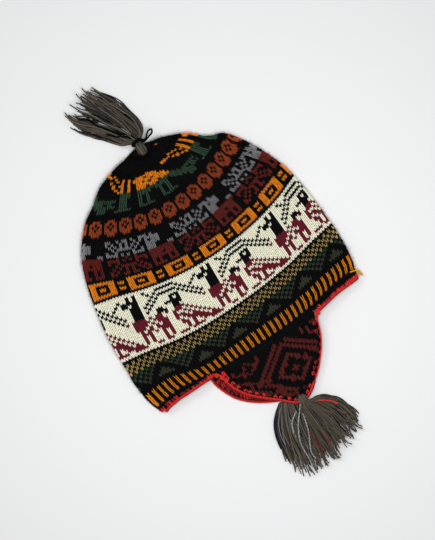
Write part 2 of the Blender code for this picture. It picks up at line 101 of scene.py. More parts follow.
# The knitting: stitches round the hat and on the upper face, rows, and the rows where stitches are drawn
# together in twos and fours
STITCHES = 144
FACE_STITCHES = 74
HALF_FACE = FACE_STITCHES / 2.0
ROWS = 95
PAIRED_ROW = 71
GATHERED_ROW = 89

# Step of the lookup grids, in rows and in stitches
GRID_STEP = 0.5

# Where each row of stitches lies along the middle of a face, as a distance from the hem in rows of 2.47 mm,
# and the share of the crown's sections at such distances
ROW_PLACES = np.array((
    (0, 0.0), (2, 1.8), (7, 7.7), (9, 9.8), (19, 20.3), (40, 41.9), (47, 48.9), (61, 62.9), (62, 63.8),
    (68, 70.0), (71, 72.7), (78, 79.7), (86, 87.5), (95, 96.0),
))
PLACE_SHARES = np.array((
    (0.0, 0.0), (68.0, 0.709), (76.8, 0.807), (80.0, 0.845), (85.0, 0.885), (90.0, 0.93), (96.0, 1.0),
))
LAST_PLACE = 96.0

# How far the rows wander up or down along the hat, in tenths of a row, by row and by stitch from the
# middle of the upper face
DRIFT_STITCHES = (-37.0, -28.0, -18.0, -8.0, 0.0, 10.0, 20.0, 28.0, 37.0, 60.0, 84.0, 107.0)
DRIFT_ROWS = (0.0, 2.0, 7.0, 19.0, 40.0, 50.0, 65.0, 76.0, 84.0, 95.0)
DRIFT = np.array((
    (0, 0, 0, 0, 0, 0, 0, 0, 0, 0, 0, 0),
    (1, 1, -12, -6, -1, -5, -13, -2, 0, 2, -2, 1),
    (-12, 4, -17, -8, -1, -2, 7, 13, 5, 2, -3, -12),
    (-11, -1, -4, -3, 0, 3, 9, 20, 23, 4, -4, -11),
    (1, 11, 6, 3, 0, -2, -5, -6, -4, -2, 2, 1),
    (9, 7, 3, 1, 0, -4, -6, -7, -6, -2, 2, 9),
    (-4, 0, 3, 2, 0, -4, -11, -16, -19, -2, 1, -4),
    (10, 6, 2, -3, -3, -4, -6, -7, -7, 0, 3, 10),
    (30, 12, 1, -2, -2, -3, -4, -5, -5, 0, 10, 30),
    (0, 0, 0, 0, 0, 0, 0, 0, 0, 0, 0, 0),
)) / 10.0

# How far the stitches wander sideways against the row's start, in tenths of a stitch, for the same places
SHIFT_ROWS = (0.0, 50.0, 58.0, 65.0, 72.0, 80.0, 95.0)
SHIFT = np.array((
    (0, 0, 0, 0, 0, 0, 0, 0, 0, 0, 0, 0),
    (0, 0, 0, 0, 0, 1, 2, 3, 4, 1, 0, 0),
    (0, 0, 2, 2, 2, 4, 9, 15, 22, 10, 2, 0),
    (0, 1, 4, 4, 3, 6, 13, 25, 40, 20, 5, 0),
    (0, -3, -2, 0, 1, 4, 8, 10, 12, 6, 1, 0),
    (0, -8, -6, -2, 0, 2, 4, 2, 0, 0, 0, 0),
    (0, 0, 0, 0, 0, 0, 0, 0, 0, 0, 0, 0),
)) / 10.0

# How far the upper layer's hem hangs below the solid's, outside the flap, at places along X
HEM_DROP = np.array((
    (-0.124, 0.0), (-0.112, 0.0002), (-0.104, 0.0015), (-0.098, 0.0020), (-0.090, 0.0033), (-0.080, 0.0035),
    (-0.070, 0.0029), (-0.062, 0.0026), (-0.054, 0.0), (0.050, 0.0), (0.058, 0.0045), (0.064, 0.0070),
    (0.073, 0.0070), (0.080, 0.0067), (0.090, 0.0061), (0.100, 0.0062), (0.110, 0.0057), (0.116, 0.0046),
    (0.120, 0.0022), (0.124, 0.0),
))

# Rows that the lower hem reaches up to, and how the layer is lifted where it hangs over the flap
HEM_DROP_ROWS = 2.0
OVER_FLAP = (-0.066, 0.069)
OVER_FLAP_LIFT = 0.0006
FULL_LIFT_DROP = 0.001

# Where the left fold bulges near the hem: places along Y and how far, and its share by stitch
LIP = np.array((
    (-0.002, 0.0010), (0.004, 0.0045), (0.011, 0.0060), (0.020, 0.0062), (0.028, 0.0060), (0.042, 0.0048),
    (0.055, 0.0010), (0.065, 0.0),
))
LIP_SHARES = np.array((
    (-37.0, 0.5), (-36.2, 0.15), (-35.5, 0.0), (94.0, 0.0), (102.0, 0.8), (106.0, 1.0), (107.0, 0.5),
))
FIRST_LIP_STITCH = 104

# How far the right shoulder of the gathered top sinks in, at places along X, its share by stitch and by
# row, and its direction in plan
SHOULDER_SINK = np.array((
    (0.025, 0.0), (0.031, 0.0018), (0.043, 0.0018), (0.054, 0.0028), (0.062, 0.0036), (0.068, 0.0045),
    (0.075, 0.0040), (0.080, 0.0028), (0.088, 0.0010), (0.094, 0.0),
))
SHOULDER_STITCHES = (25.0, 36.0, 38.0, 49.0)
SHOULDER_ROWS = (66.0, 74.0, 88.0, 92.0)
SHOULDER_SHARES = (0.0, 1.0, 1.0, 0.0)
SINK_WAY = np.array((0.545, 0.839))

# The yarns, by number
(
    BLACK, GOLD, CREAM, PLUM, RED_BROWN, GREY, RUST, GREEN, DARK_GREEN, OLIVE, TAN, FLAP_RED, EDGE_RED,
    EDGE_DARK, TASSEL, TASSEL_DARK, TASSEL_LIGHT, PALE_GREY, LINT_GREY, PLUM_STRAND, NAVY, YELLOW, HEM_GOLD,
    TASSEL_PAINTED_SHADE,
) = range(24)

# Added to a yarn's number for its darker copy, painted shade on the sheet that shows deep between the stitches
PAINTED_SHADE_OFFSET = 30

# Each yarn's name and its colour in sRGB
YARNS = {
    BLACK: ("black_wool", (8, 8, 9)),
    GOLD: ("golden_orange_wool", (236, 138, 14)),
    CREAM: ("cream_wool", (242, 240, 218)),
    PLUM: ("plum_wool", (104, 15, 34)),
    RED_BROWN: ("red_brown_wool", (108, 28, 21)),
    GREY: ("grey_wool", (138, 138, 142)),
    RUST: ("rust_wool", (178, 79, 33)),
    GREEN: ("moss_green_wool", (50, 78, 56)),
    DARK_GREEN: ("dark_green_wool", (38, 64, 46)),
    OLIVE: ("olive_wool", (54, 58, 38)),
    TAN: ("tan_wool", (190, 163, 102)),
    FLAP_RED: ("brick_wool", (108, 31, 24)),
    EDGE_RED: ("bright_red_wool", (218, 46, 42)),
    EDGE_DARK: ("deep_red_wool", (150, 30, 34)),
    TASSEL: ("brown_grey_wool", (78, 71, 60)),
    TASSEL_DARK: ("dark_brown_grey_wool", (49, 45, 39)),
    TASSEL_LIGHT: ("light_brown_grey_wool", (99, 91, 80)),
    PALE_GREY: ("pale_grey_wool", (172, 173, 178)),
    LINT_GREY: ("lint_grey_wool", (128, 128, 132)),
    PLUM_STRAND: ("dark_red_wool", (122, 26, 30)),
    NAVY: ("navy_wool", (14, 18, 30)),
    YELLOW: ("yellow_wool", (222, 160, 16)),
    HEM_GOLD: ("hem_orange_wool", (240, 142, 18)),
    # painted shade: the colour for the deepest strands inside the tassels
    TASSEL_PAINTED_SHADE: ("brown_grey_wool_painted_shade", (29, 26, 23)),
}

# How light the painted-shade copies of some yarns are beside the yarns themselves
PAINTED_SHADE_SHARE = {BLACK: 0.5, CREAM: 0.44, GOLD: 0.42, PLUM: 0.45}
OTHER_PAINTED_SHADE_SHARE = 0.26

# How thick some yarns look beside the black they are knitted with
THINNER = {
    BLACK: 1.12, CREAM: 0.92, GOLD: 0.74, HEM_GOLD: 0.51, TAN: 0.49, OLIVE: 0.76, DARK_GREEN: 0.74,
    GREEN: 0.62, RUST: 0.49, GREY: 0.66, RED_BROWN: 0.68, FLAP_RED: 0.62,
}

# A row of walking llamas with rugs and stepped clouds
LLAMA_ROWS = (
    "........................",
    "..#...######.........#.#",
    "...#.#......#.....#..#.#",
    "....#.######.#...#.#####",
    "...#.#......#.#.#..##.##",
    "..#.#....###.#.#.....###",
    ".#.#.....#.#..#.#....###",
    "..#....#####...#.#...###",
    ".#..##...###....#.#..###",
    "....###..##......#...###",
    ".#.##.#..###......#.####",
    "#.###...###.#.......####",
    ".#.###..#..#.#......####",
    "#.#.##..###.#.#.....###.",
    "#.####..#.##.#.#.....#.#",
    ".#.###...#.####.#....###",
    "...#.#...##.####.#...#.#",
    "...#.#....#.#.###.#..#.#",
    "...#.#....#.#..#####.#.#",
    "##.##..###.####..####...",
    "........................",
)

# Framed dots and crosses
FRAME_ROWS = (
    "########....",
    "##....##.##.",
    "##.##.##....",
    "##....##.##.",
    "########....",
)

# Llamas between stepped birds
BIRD_ROWS = (
    "#.#.......##..#.##.#..##",
    "#####.....#.#..#.#..#.#.",
    "#.###......#.#.#.#.#.#..",
    "#####.......#.#####.#...",
    "###.......#..#.....#..#.",
    "###....##.####.#.#.####.",
    "#########....#..#..#....",
    "########..####.#.#.####.",
    "####.###..#..#.....#..#.",
    "########....#.#####.#...",
    "#.#..#.#...#.#.#.#.#.#..",
    "#.#..#.#..#.#..#.#..#.#.",
    "####.###..##..##.##..##.",
)

# Rosettes
ROSETTE_ROWS = (
    ".###..",
    "##.##.",
    "#.#.#.",
    "##.##.",
    "#####.",
    ".###..",
)

# Standing beasts, in paired stitches
BEAST_ROWS = (
    ".....#......##..#.......",
    ".#######....####.#..#.#.",
    "####.####.........#.#.#.",
    "#########.......#...#.#.",
    ".##.##.###.......#.##.#.",
    ".####.#####......#..#.#.",
    ".##########.......#.#.#.",
    ".###.###.###.......##.#.",
    ".######.#####.......###.",
    ".####.####.###......###.",
    ".#.#...#.#..#######.##..",
    ".#.#...#.#...###.#..##..",
    ".#.#...#.#....#####.##..",
    ".#.#...#.#.....##...##..",
    ".####..####....##..####.",
)

# The bands, each from its top row down: lowest row, first stitch, rows in the lower yarn, the lower and the
# upper yarn, the ground's yarn and the chart
CHARTS = (
    (19, 0, 11, PLUM, BLACK, CREAM, LLAMA_ROWS),
    (41, 0, 5, GOLD, GOLD, BLACK, FRAME_ROWS),
    (47, -14, 7, RED_BROWN, GREY, BLACK, BIRD_ROWS),
    (62, 2, 6, RUST, RUST, BLACK, ROSETTE_ROWS),
    (71, -7, 7, GREEN, GOLD, BLACK, BEAST_ROWS),
)

# The plain bands: rows of strokes at the hem, rows of a checked yarn, and the zigzag. The zigzag's rows
# give half the width of its peak, half the width kept clear round the peak, and the places of the dots
# from their middle
STROKE_ROWS = range(2, 7)
CHECKED_ROWS = range(14, 18)
ZIGZAG_WIDTH = 12
PEAK_MIDDLE, DOTS_MIDDLE = -4, 2
ZIGZAG = {
    9: (2, 3, (0,)),
    10: (1, 2, (1,)),
    11: (0, 0, (0, 2)),
    12: (-1, -1, (1, 3)),
    13: (-1, -1, (0, 2, 4)),
}
FIRST_GREEN_ROW = 12

# The crown's pieces, with their first row and the row after their last
CROWN_BANDS = (
    ("knit_hem_bands", 0, 19),
    ("knit_llama_band", 19, 40),
    ("knit_middle_bands", 40, 61),
    ("knit_rosette_band", 61, PAIRED_ROW),
    ("knit_beast_band", PAIRED_ROW, 86),
    ("knit_gathered_top", 86, ROWS),
)

# One leg of a stitch, from its lower end between the legs of the stitch below to its upper end under the
# stitch above: how far up in rows, how far out in stitches, half its width in stitches, and how high its
# back stands
LEG_UP = np.array((-0.10, 0.38, 1.00, 1.44))
LEG_OUT = np.array((0.09, 0.205, 0.305, 0.37))
LEG_HALF_WIDTH = np.array((0.08, 0.19, 0.18, 0.08))
LEG_HEIGHT = np.array((0.15, 1.0, 0.92, 0.0))
LEG_ACROSS = np.array((-1.0, -0.42, 0.42, 1.0))
LEG_ROUND = np.array((0.0, 1.0, 1.0, 0.0))
LEG_TILT = 0.16
KNIT_RELIEF = 0.00125

# Unevenness of the stitches, for cream and for other yarns, and how it shows along, across and in height
CREAM_WOBBLE, WOBBLE = 0.35, 1.15
WOBBLE_UP, WOBBLE_OUT, WOBBLE_HEIGHT = 0.07, 0.035, 0.10
GATHERED_WIDTH = 0.86

FLOOR_CLEAR = 0.00012
GROUND_INSET = 0.00115
GROUND_WALL = KNIT_WALL - 0.0001
TOP_CLOSING = 0.0004

# How far the grounds reach in under the edging
UNDER_EDGING = 0.0011

# A single golden stitch near the top: its place in plan, the rows and stitches to look for it in, its width
# in stitches and its lift
STRAY_STITCH = (0.0216, 0.2278)
STRAY_ROWS = (84.0, 95.0)
STRAY_STITCHES = (-30.0, 30.0)
STRAY_WIDTH = 2.0
STRAY_LIFT = 0.0004

# The flaps' knitting: row 0 and stitch 0 sit at this place, rows run from the hem down to the tip
FLAP_MIDDLE_X = 0.0161
FLAP_MIDDLE_Y = -0.0339
FLAP_ROW = 0.00235
FLAP_STITCH_RIGHT = 0.00305
FLAP_STITCH_LEFT = 0.00317
FLAP_FIRST_ROW = -19
FLAP_END_ROW = 14
FLAP_STITCHES = (-26.0, 24.0)
FLAP_MARGIN = 0.0008
FLAP_RELIEF = 0.0011
PURL_RELIEF = 0.0009
FLAP_GROUND_HALF = 0.0003

# The flaps' leaf motif, its first row and stitch, with a mark for each stitch in brick yarn
FLAP_CHART_ROW, FLAP_CHART_STITCH = -13, -19
FLAP_CHART = (
    "......#...#......#...#.....#...###",
    ".#...#.#..#.....##.#.##....#.#..#.",
    ".#...#..###....##.###.##...#.#....",
    "..###...##....##.##.##.##....#....",
    "....##.##....##.##...##.##...##..#",
    "#...#.#.....##.##.....##.##....#..",
    "##.........##.##...#...##.##...#..",
    "..##......##.##...###...##.##.....",
    "...##....##.##...##.##...##.##....",
    "....##..##.##...##...##...##.##...",
    "....#.###.##...###...##.#.###.#...",
    "...##.#####...##.......##..###....",
    "....#.##.##...##...#...##...##....",
    "....##..##...##...###...##..##....",
    ".....##..##...##...#...##...#.....",
    "......##..##...###...###....#.....",
    "......###..##...##...##...#.......",
    "......###.###...###.##............",
    ".......#.#####....###.............",
    "...........####....#....#.........",
    "...........##.##.......#..........",
    "............##.##.................",
    "............####..#...............",
    "...............#...##.............",
    "..............##..................",
)

# Where the edging's stitches bite into the front flap, as stitches and rows of its knitting
BITES = (
    (-21.9, -11.9), (-20.8, -8.7), (-20.0, -6.1), (-19.0, -3.3), (-17.8, -1.7), (-16.1, 0.5), (-14.7, 2.7),
    (-11.8, 5.8), (-10.2, 7.3), (-8.6, 9.9), (-7.0, 11.7), (14.3, -8.6), (7.8, 2.9), (6.4, 4.6), (4.7, 6.3),
    (2.1, 9.9), (0.5, 11.6), (15.2, -11.6), (-20.9, -14.6), (-21.6, -13.4),
)

# The edging's stitches where the hem meets the front flap: places in plan in millimetres and where they point
CORNER_BITES = (
    (-60.7, 5.0, 5.0), (-54.8, 2.0, -5.0), (-51.6, -2.4, -40.0), (-49.2, -7.4, -50.0), (68.4, 4.0, 40.0),
    (65.0, 1.4, 50.0), (63.4, -1.4, 62.0),
)

# The margin that these stitches keep, how many the back flap has, and their sizes, lifts and reliefs
BITE_MARGIN = 0.0018
BACK_BITE_COUNT = 30
BITE_SIZE = (0.0040, 0.0026)
CORNER_BITE_SIZE = (0.0042, 0.0030)
BITE_LIFT, CORNER_BITE_LIFT = 0.0006, 0.0022
BITE_RELIEF, CORNER_BITE_RELIEF = 0.0014, 0.0022

# The edging: length of a stitch, width and relief of its stitches, and where the inner side is dark
EDGE_STITCH = 0.0026
EDGE_WIDTH = 1.1
EDGE_RELIEF = 0.0006
DARK_RUN = (0.022, -0.006, 0.0045)

# How far down a flap its edging leaves the hem's, on its left and on its right
FRONT_ENDS = (0.10, 0.17)
BACK_ENDS = (0.06, 0.06)

# The end of a yellow thread at the hem's right corner
HEM_THREAD = (
    (113.0, 16.0), (115.5, 15.4), (118.5, 14.4), (121.0, 12.0), (120.8, 9.2), (118.6, 8.6), (117.6, 10.6),
    (119.2, 12.4), (121.6, 10.0), (122.0, 6.5),
)
HEM_THREAD_HEIGHTS = (0.0098, 0.0090, 0.0075, 0.0066, 0.0060, 0.0050)
HEM_THREAD_RADIUS = 0.00075

# Where the edging reaches in over the hem, clear of the flaps, as stitches round the crown and how far
# apart they stand
HEM_RUNS = ((-36.2, -17.5, 1.4), (19.4, 37.0, 0.85), (37.0, 57.0, 1.0), (90.0, 107.0, 1.0))

# Size and lift of those stitches
TOOTH_WIDTH = 0.95
TOOTH_LIFT = 0.0009
TOOTH_ROOT = 0.0028
TOOTH_RELIEF = 0.0014
TOOTH_SHARE_OF_DROP = 0.0042

# Knobs and strands of the tassels
TOP_KNOB = np.array((0.01050, 0.01300, 0.00900))
TOP_KNOB_MIDDLE = np.array((0.005418, 0.232023, 0.0))
FLAP_KNOB = np.array((0.00950, 0.00850, 0.00740))
BACK_KNOB = np.array((0.00950, 0.00850, 0.00500))
LOCK_DIAMETER = 0.0062
STRAND_RADIUS = 0.00060
STRAND_SIDES = 5
KNOB_REACH = 0.88
KNOB_ROUNDNESS = 2.6
KNOB_CORE = 0.86

# How strands fall: where clumps stand, how far strands gather to them, the outer ones that don't, how many
# stray, how long clumps, strands and strays are, and how much shorter the deeper ones are
CLUMP_PLACES = (0.15, 0.85)
GATHERING = (0.40, 1.05)
OUTER_SHARE = 0.05
STRAY_SHARE = 0.10
CLUMP_LENGTHS = (0.91, 1.02)
STRAND_LENGTHS = (0.90, 1.03)
STRAY_LENGTHS = (1.0, 1.07)
DEPTH_LENGTHS = ((0.0, 0.5, 0.7), (0.84, 0.89, 1.0))

# The lowest and the highest strands, as shares of a lock, and the share of their length on which they fall
LOW_LEVEL, HIGH_LEVEL, USUAL_CREST = 0.12, 0.70, 0.75
FALLING_SHARE = 0.45

# The chance of a light strand is given for each tassel. Others are dark by chance, and those that lie deep are
# dark, the deepest darker still, as painted shade inside the tassel
DARK_CHANCE = 0.85
DARK_DEPTH, PAINTED_SHADE_DEPTH = 0.62, 0.32

# The tassels' outlines in plan, in millimetres from the knob to the tips, and their tips from left to right
TOP_LEFT = ((3.0, 240.5), (-3.5, 242.6), (-9.4, 245.5), (-12.9, 249.5), (-19.0, 258.7), (-25.9, 266.5),
            (-35.0, 277.0), (-40.7, 286.7), (-42.7, 294.7))
TOP_RIGHT = ((8.5, 241.0), (13.5, 243.2), (17.5, 247.0), (19.4, 252.8), (19.3, 260.9), (17.2, 267.6),
             (15.0, 274.4), (12.7, 283.1), (7.7, 293.7), (2.0, 303.4), (-3.5, 312.2))
TOP_TIPS = ((-42.7, 294.7), (-39.0, 299.5), (-36.5, 301.2), (-28.9, 308.8), (-16.2, 307.9), (-11.5, 314.1),
            (-4.0, 312.5))
FRONT_LEFT = ((2.0, -66.5), (-2.5, -72.0), (-6.5, -80.0), (-9.5, -90.0), (-12.0, -102.0), (-14.0, -115.0),
              (-17.0, -131.0))
FRONT_RIGHT = ((7.5, -66.5), (12.0, -69.4), (17.9, -70.2), (23.9, -73.0), (30.6, -79.1), (36.6, -86.3),
               (39.1, -92.6), (41.0, -102.0), (43.6, -116.3))
FRONT_TIPS = ((-17.0, -133.0), (-9.0, -131.0), (2.0, -131.4), (5.7, -133.0), (13.0, -126.5), (17.6, -126.5),
              (25.3, -124.0), (33.0, -122.4), (38.0, -117.0), (43.6, -116.3))
BACK_LEFT = ((-17.0, -55.5), (-22.5, -60.0), (-27.7, -65.4), (-31.9, -70.6), (-35.8, -78.5), (-37.9, -86.6),
             (-39.4, -93.7), (-41.5, -104.0), (-43.3, -115.3))
BACK_RIGHT = ((-3.0, -58.0), (-2.0, -66.0), (-2.5, -78.0), (-4.0, -92.0), (-6.0, -106.0), (-9.0, -130.0))
BACK_TIPS = (
    (-43.3, -115.3), (-39.8, -124.2), (-33.6, -126.9), (-27.3, -133.0), (-15.0, -133.0), (-9.0, -130.0),
)

# Odd strands of the tassels: yarn, places in plan in millimetres, heights and radius
TOP_ODD = (
    (BLACK, ((-31.3, 290.9), (-23.5, 284.5), (-18.9, 275.2), (-12.4, 267.0), (-4.0, 254.0)),
     (0.0098, 0.0108, 0.0108, 0.0100), 0.0008),
    (BLACK, ((-16.0, 263.4), (-9.8, 256.7), (-0.7, 250.1), (6.1, 242.4)), (0.0095, 0.0108, 0.0112), 0.0010),
    (BLACK, ((-14.0, 268.4), (-6.0, 258.7), (1.7, 251.1), (6.6, 243.4)), (0.0100, 0.0110, 0.0114), 0.0009),
    (TASSEL_LIGHT, ((-16.1, 308.1), (-11.9, 302.4), (-8.7, 293.1), (-3.9, 280.0), (1.0, 267.6), (5.0, 250.0)),
     (0.0080, 0.0100, 0.0115, 0.0115), 0.0006),
    (TASSEL, ((-11.5, 315.1), (-9.9, 306.4), (-5.7, 296.1), (0.1, 281.0), (5.0, 267.6), (7.0, 250.0)),
     (0.0080, 0.0100, 0.0113, 0.0113), 0.0006),
)
GREY_RADIUS, GREY_PITCH = 0.00070, 0.0032
FRONT_ODD_GREY = (
    (((1.5, -66.0), (-2.0, -69.2), (-6.9, -75.3), (-12.5, -82.2), (-17.5, -90.9), (-21.1, -100.5),
      (-22.1, -109.2), (-22.4, -116.9), (-23.8, -127.2)), (0.0112, 0.0108, 0.0095, 0.0080, 0.0072, 0.0064)),
    (((1.5, -68.0), (-2.0, -71.2), (-3.6, -78.7), (-6.1, -87.7), (-9.1, -96.4), (-13.6, -105.4), (-17.1, -113.7),
      (-16.7, -121.3)), (0.0112, 0.0112, 0.0108, 0.0100, 0.0090, 0.0080)),
    (((-7.4, -71.3), (-13.5, -75.0), (-18.1, -80.0), (-21.7, -88.2)), (0.0075, 0.0078, 0.0070)),
)
FRONT_ODD = (
    (PLUM_STRAND, ((-7.0, -91.1), (-7.4, -98.8), (-7.6, -109.3), (-5.4, -121.3)),
     (0.0098, 0.0105, 0.0093), 0.0006),
    (PLUM_STRAND, ((2.4, -103.2), (3.4, -109.8), (4.1, -114.9), (4.0, -120.1)),
     (0.0108, 0.0109, 0.0098), 0.0006),
    (EDGE_RED, ((11.8, -72.5), (17.3, -74.1), (21.6, -76.6), (26.9, -80.7), (31.5, -86.9)),
     (0.0104, 0.0110, 0.0110, 0.0095), 0.0007),
)
BACK_ODD = (
    (NAVY, ((-17.3, -56.6), (-22.7, -60.0), (-28.7, -65.4), (-32.9, -70.6), (-37.2, -79.5), (-39.3, -87.6),
            (-40.4, -94.7)), (0.0030, 0.0045, 0.0048, 0.0045), 0.0010),
    (NAVY, ((-16.3, -57.6), (-21.7, -61.5), (-27.4, -66.8), (-31.5, -72.0), (-35.8, -80.9), (-37.9, -88.6),
            (-39.0, -97.7)), (0.0030, 0.0050, 0.0052, 0.0048), 0.0008),
    (LINT_GREY, ((-18.0, -59.0), (-24.4, -66.0), (-30.0, -74.0), (-33.8, -84.0), (-35.0, -94.0)),
     (0.0035, 0.0056, 0.0056, 0.0050), 0.0004),
)

# The tie's rings and its loop
TIE_RING, TIE_RING_WAVE, TIE_RING_RADIUS = 0.0054, 0.0005, 0.0008
TIE_RINGS = 4
TIE_LOOP = (
    (14.7, 238.5), (17.7, 241.2), (20.5, 243.5), (23.0, 244.0), (24.5, 243.3), (24.3, 241.7), (22.5, 239.9),
    (19.1, 238.8), (15.2, 237.5),
)
TIE_LOOP_HEIGHTS = (0.0110, 0.0092, 0.0085, 0.0085, 0.0100)
TIE_LOOP_RADIUS = 0.00095

# Loose fibres of the wool: how many, their radius and length, and the share of them near the folds
HAIR_COUNT = 7500
HAIR_RADIUS = 0.00004
HAIR_LENGTH = 0.0034
HAIR_LEAN = 0.55
HAIR_ROOT = 0.0003
HAIR_CURL = 0.45
FOLD_SHARE = 0.6
FOLD_SPREAD = 2.0

# Where the camera hangs, which way in plan is up in its picture, and the length of floor that it sees
CAMERA_PLACE = (0.0046, -0.0009)
CAMERA_UP = (0.545, 0.839)
CAMERA_HEIGHT = 2.2
PHOTO_HEIGHT = 0.54


def smooth_value(knots, values, place):
    """Value at places along a table column, on a smooth curve through its rows."""
    knots = np.asarray(knots, float)
    values = np.asarray(values, float)
    place = np.clip(np.asarray(place, float), knots[0], knots[-1])
    last = len(knots) - 1
    index = np.clip(np.searchsorted(knots, place, side="left") - 1, 0, last - 1)
    before, after = np.maximum(index - 1, 0), np.minimum(index + 2, last)
    span = knots[index + 1] - knots[index]
    share = (place - knots[index]) / span
    slope_in = (values[index + 1] - values[before]) / (knots[index + 1] - knots[before]) * span
    slope_out = (values[after] - values[index]) / (knots[after] - knots[index]) * span
    square, cube = share ** 2, share ** 3
    return (
        (2 * cube - 3 * square + 1) * values[index]
        + (cube - 2 * square + share) * slope_in
        + (3 * square - 2 * cube) * values[index + 1]
        + (cube - square) * slope_out
    )


def distances(points):
    """How far each point lies from the first along a line."""
    return np.concatenate(((0.0,), np.cumsum(np.linalg.norm(np.diff(points, axis=0), axis=1))))


def crown_points(row, turn, inset=0.0):
    """Points of the crown's surface at a share of the rows and at angles round the section."""
    knots = SECTIONS[:, 0]
    front_y, back_y, left_x, left_y, right_x, right_y, top_z, fold_z, bottom_z = (
        float(smooth_value(knots, SECTIONS[:, column] * SECTION_SIZES[column], row)) for column in range(1, 10)
    )
    across = np.cos(turn)
    upper = np.sin(turn) >= -1e-9
    half_width = (right_x - left_x) / 2.0 - inset
    slant, fold_y = (right_y - left_y) / 2.0, (right_y + left_y) / 2.0
    strength = max(0.0, (row - PLEAT_START_ROW) / (1.0 - PLEAT_START_ROW))
    pleat = PLEAT_DEPTH * math.sin(math.pi * (0.1 + 0.8 * strength)) * (1.0 - across ** 2)
    pleat = pleat * np.cos(PLEAT_COUNT * math.pi * across)
    above = np.clip(1.0 - np.abs(across) ** UPPER_FULLNESS, 0.0, 1.0) ** (1.0 / UPPER_FULLNESS)
    below = np.clip(1.0 - np.abs(across) ** LOWER_FULLNESS, 0.0, 1.0) ** (1.0 / LOWER_FULLNESS)
    upper_z = fold_z + (top_z - inset + pleat - fold_z) * above
    lower_z = np.maximum(inset, fold_z + (bottom_z + inset - fold_z) * below - FLAT_REST * below)
    arch = HEM_ARCH * 4.0 * across ** 2 * (1.0 - across ** 2) * max(0.0, 1.0 - row / HEM_ARCH_END_ROW)
    face_y = np.where(upper, front_y, back_y)
    x = (right_x + left_x) / 2.0 + half_width * across
    y = face_y + (fold_y - face_y) * across ** 2 + slant * across ** 3 + arch
    return np.stack((x, y, np.where(upper, upper_z, lower_z)), -1)


def round_the_section(row, stitches):
    """Points at stitches counted from the left fold over the upper face and back under the lower one."""
    found = np.zeros((len(stitches), 3))
    spans = ((-HALF_FACE, HALF_FACE, math.pi, 0.0), (HALF_FACE, STITCHES - HALF_FACE, 2.0 * math.pi, math.pi))
    for start, end, first_turn, last_turn in spans:
        turn = np.linspace(first_turn, last_turn, 361)
        points = crown_points(row, turn)
        if first_turn > math.pi:
            points[0], points[-1] = crown_points(row, np.array((0.0, math.pi)))
        length = distances(points)
        inside = (stitches >= start) & (stitches <= end)
        wanted = (stitches[inside] - start) / (end - start) * length[-1]
        for axis in range(3):
            found[inside, axis] = np.interp(wanted, length, points[:, axis])
    return found


def between(grid, lines, places):
    """Values of a grid at lines and places that may lie between its own."""
    lines = np.clip(lines, 0.0, grid.shape[0] - 1.001)
    places = np.clip(places, 0.0, grid.shape[1] - 1.001)
    line, place = lines.astype(int), places.astype(int)
    up, on = (lines - line)[..., None], (places - place)[..., None]
    low = grid[line, place] * (1.0 - on) + grid[line, place + 1] * on
    high = grid[line + 1, place] * (1.0 - on) + grid[line + 1, place + 1] * on
    return low * (1.0 - up) + high * up


def hem_drop(x):
    """How far the upper layer's hem hangs down at places along X."""
    return np.interp(x, *HEM_DROP.T)


def crown_grid():
    """Points and outward normals of the crown at every half row and half stitch."""
    stitches = np.arange(-HALF_FACE, STITCHES - HALF_FACE + 0.01, GRID_STEP)
    shares = np.interp(np.arange(0.0, LAST_PLACE + 0.01, GRID_STEP), *PLACE_SHARES.T)
    lines = np.array([round_the_section(share, stitches) for share in shares])
    rows = np.arange(0.0, ROWS + 0.01, GRID_STEP)
    centre = smooth_value(*ROW_PLACES.T, rows)
    drift, shift = (
        np.array([smooth_value(DRIFT_STITCHES, line, stitches) for line in table]) for table in (DRIFT, SHIFT)
    )
    points = np.zeros((len(rows), len(stitches), 3))
    for column, stitch in enumerate(stitches):
        place = centre + smooth_value(DRIFT_ROWS, drift[:, column], rows)
        source = stitch - np.interp(rows, SHIFT_ROWS, shift[:, column])
        points[:, column] = between(lines, place / GRID_STEP, (source + HALF_FACE) / GRID_STEP)
    x, y, z = points[..., 0], points[..., 1], points[..., 2]
    near_hem = np.clip(1.0 - rows / HEM_DROP_ROWS, 0.0, 1.0)[:, None]
    drop = hem_drop(x) * near_hem * (np.abs(stitches) < HALF_FACE)
    over_flap = (x > OVER_FLAP[0]) & (x < OVER_FLAP[1])
    y -= drop
    x -= np.interp(y, *LIP.T, right=0.0) * np.interp(stitches, *LIP_SHARES.T)
    z += OVER_FLAP_LIFT * np.minimum(drop / FULL_LIFT_DROP, 1.0) * over_flap
    near = np.interp(stitches, SHOULDER_STITCHES, SHOULDER_SHARES)
    near = near * np.interp(rows, SHOULDER_ROWS, SHOULDER_SHARES)[:, None]
    sink = np.interp(x, *SHOULDER_SINK.T) * near
    points[..., :2] -= sink[..., None] * SINK_WAY
    along = np.gradient(points, axis=0)
    around = np.gradient(points, axis=1)
    around[:, 0] = around[:, -1] = points[:, 1] - points[:, -2]
    return points, unit(np.cross(around, along))


def unit(vectors):
    """Vectors of length one in the same directions."""
    return vectors / np.maximum(np.linalg.norm(vectors, axis=-1, keepdims=True), 1e-12)


def look_up(grid, rows, stitches):
    """Values of a grid at any rows and stitches, going round past the fold."""
    around = np.mod(np.asarray(stitches) + HALF_FACE, STITCHES) / GRID_STEP
    return between(grid, np.asarray(rows) / GRID_STEP, around)


def off_middle(stitch, middle):
    """How many stitches lie between a stitch and the nearest repeat of a middle in the zigzag."""
    half = ZIGZAG_WIDTH // 2
    return abs((stitch - middle + half) % ZIGZAG_WIDTH - half)


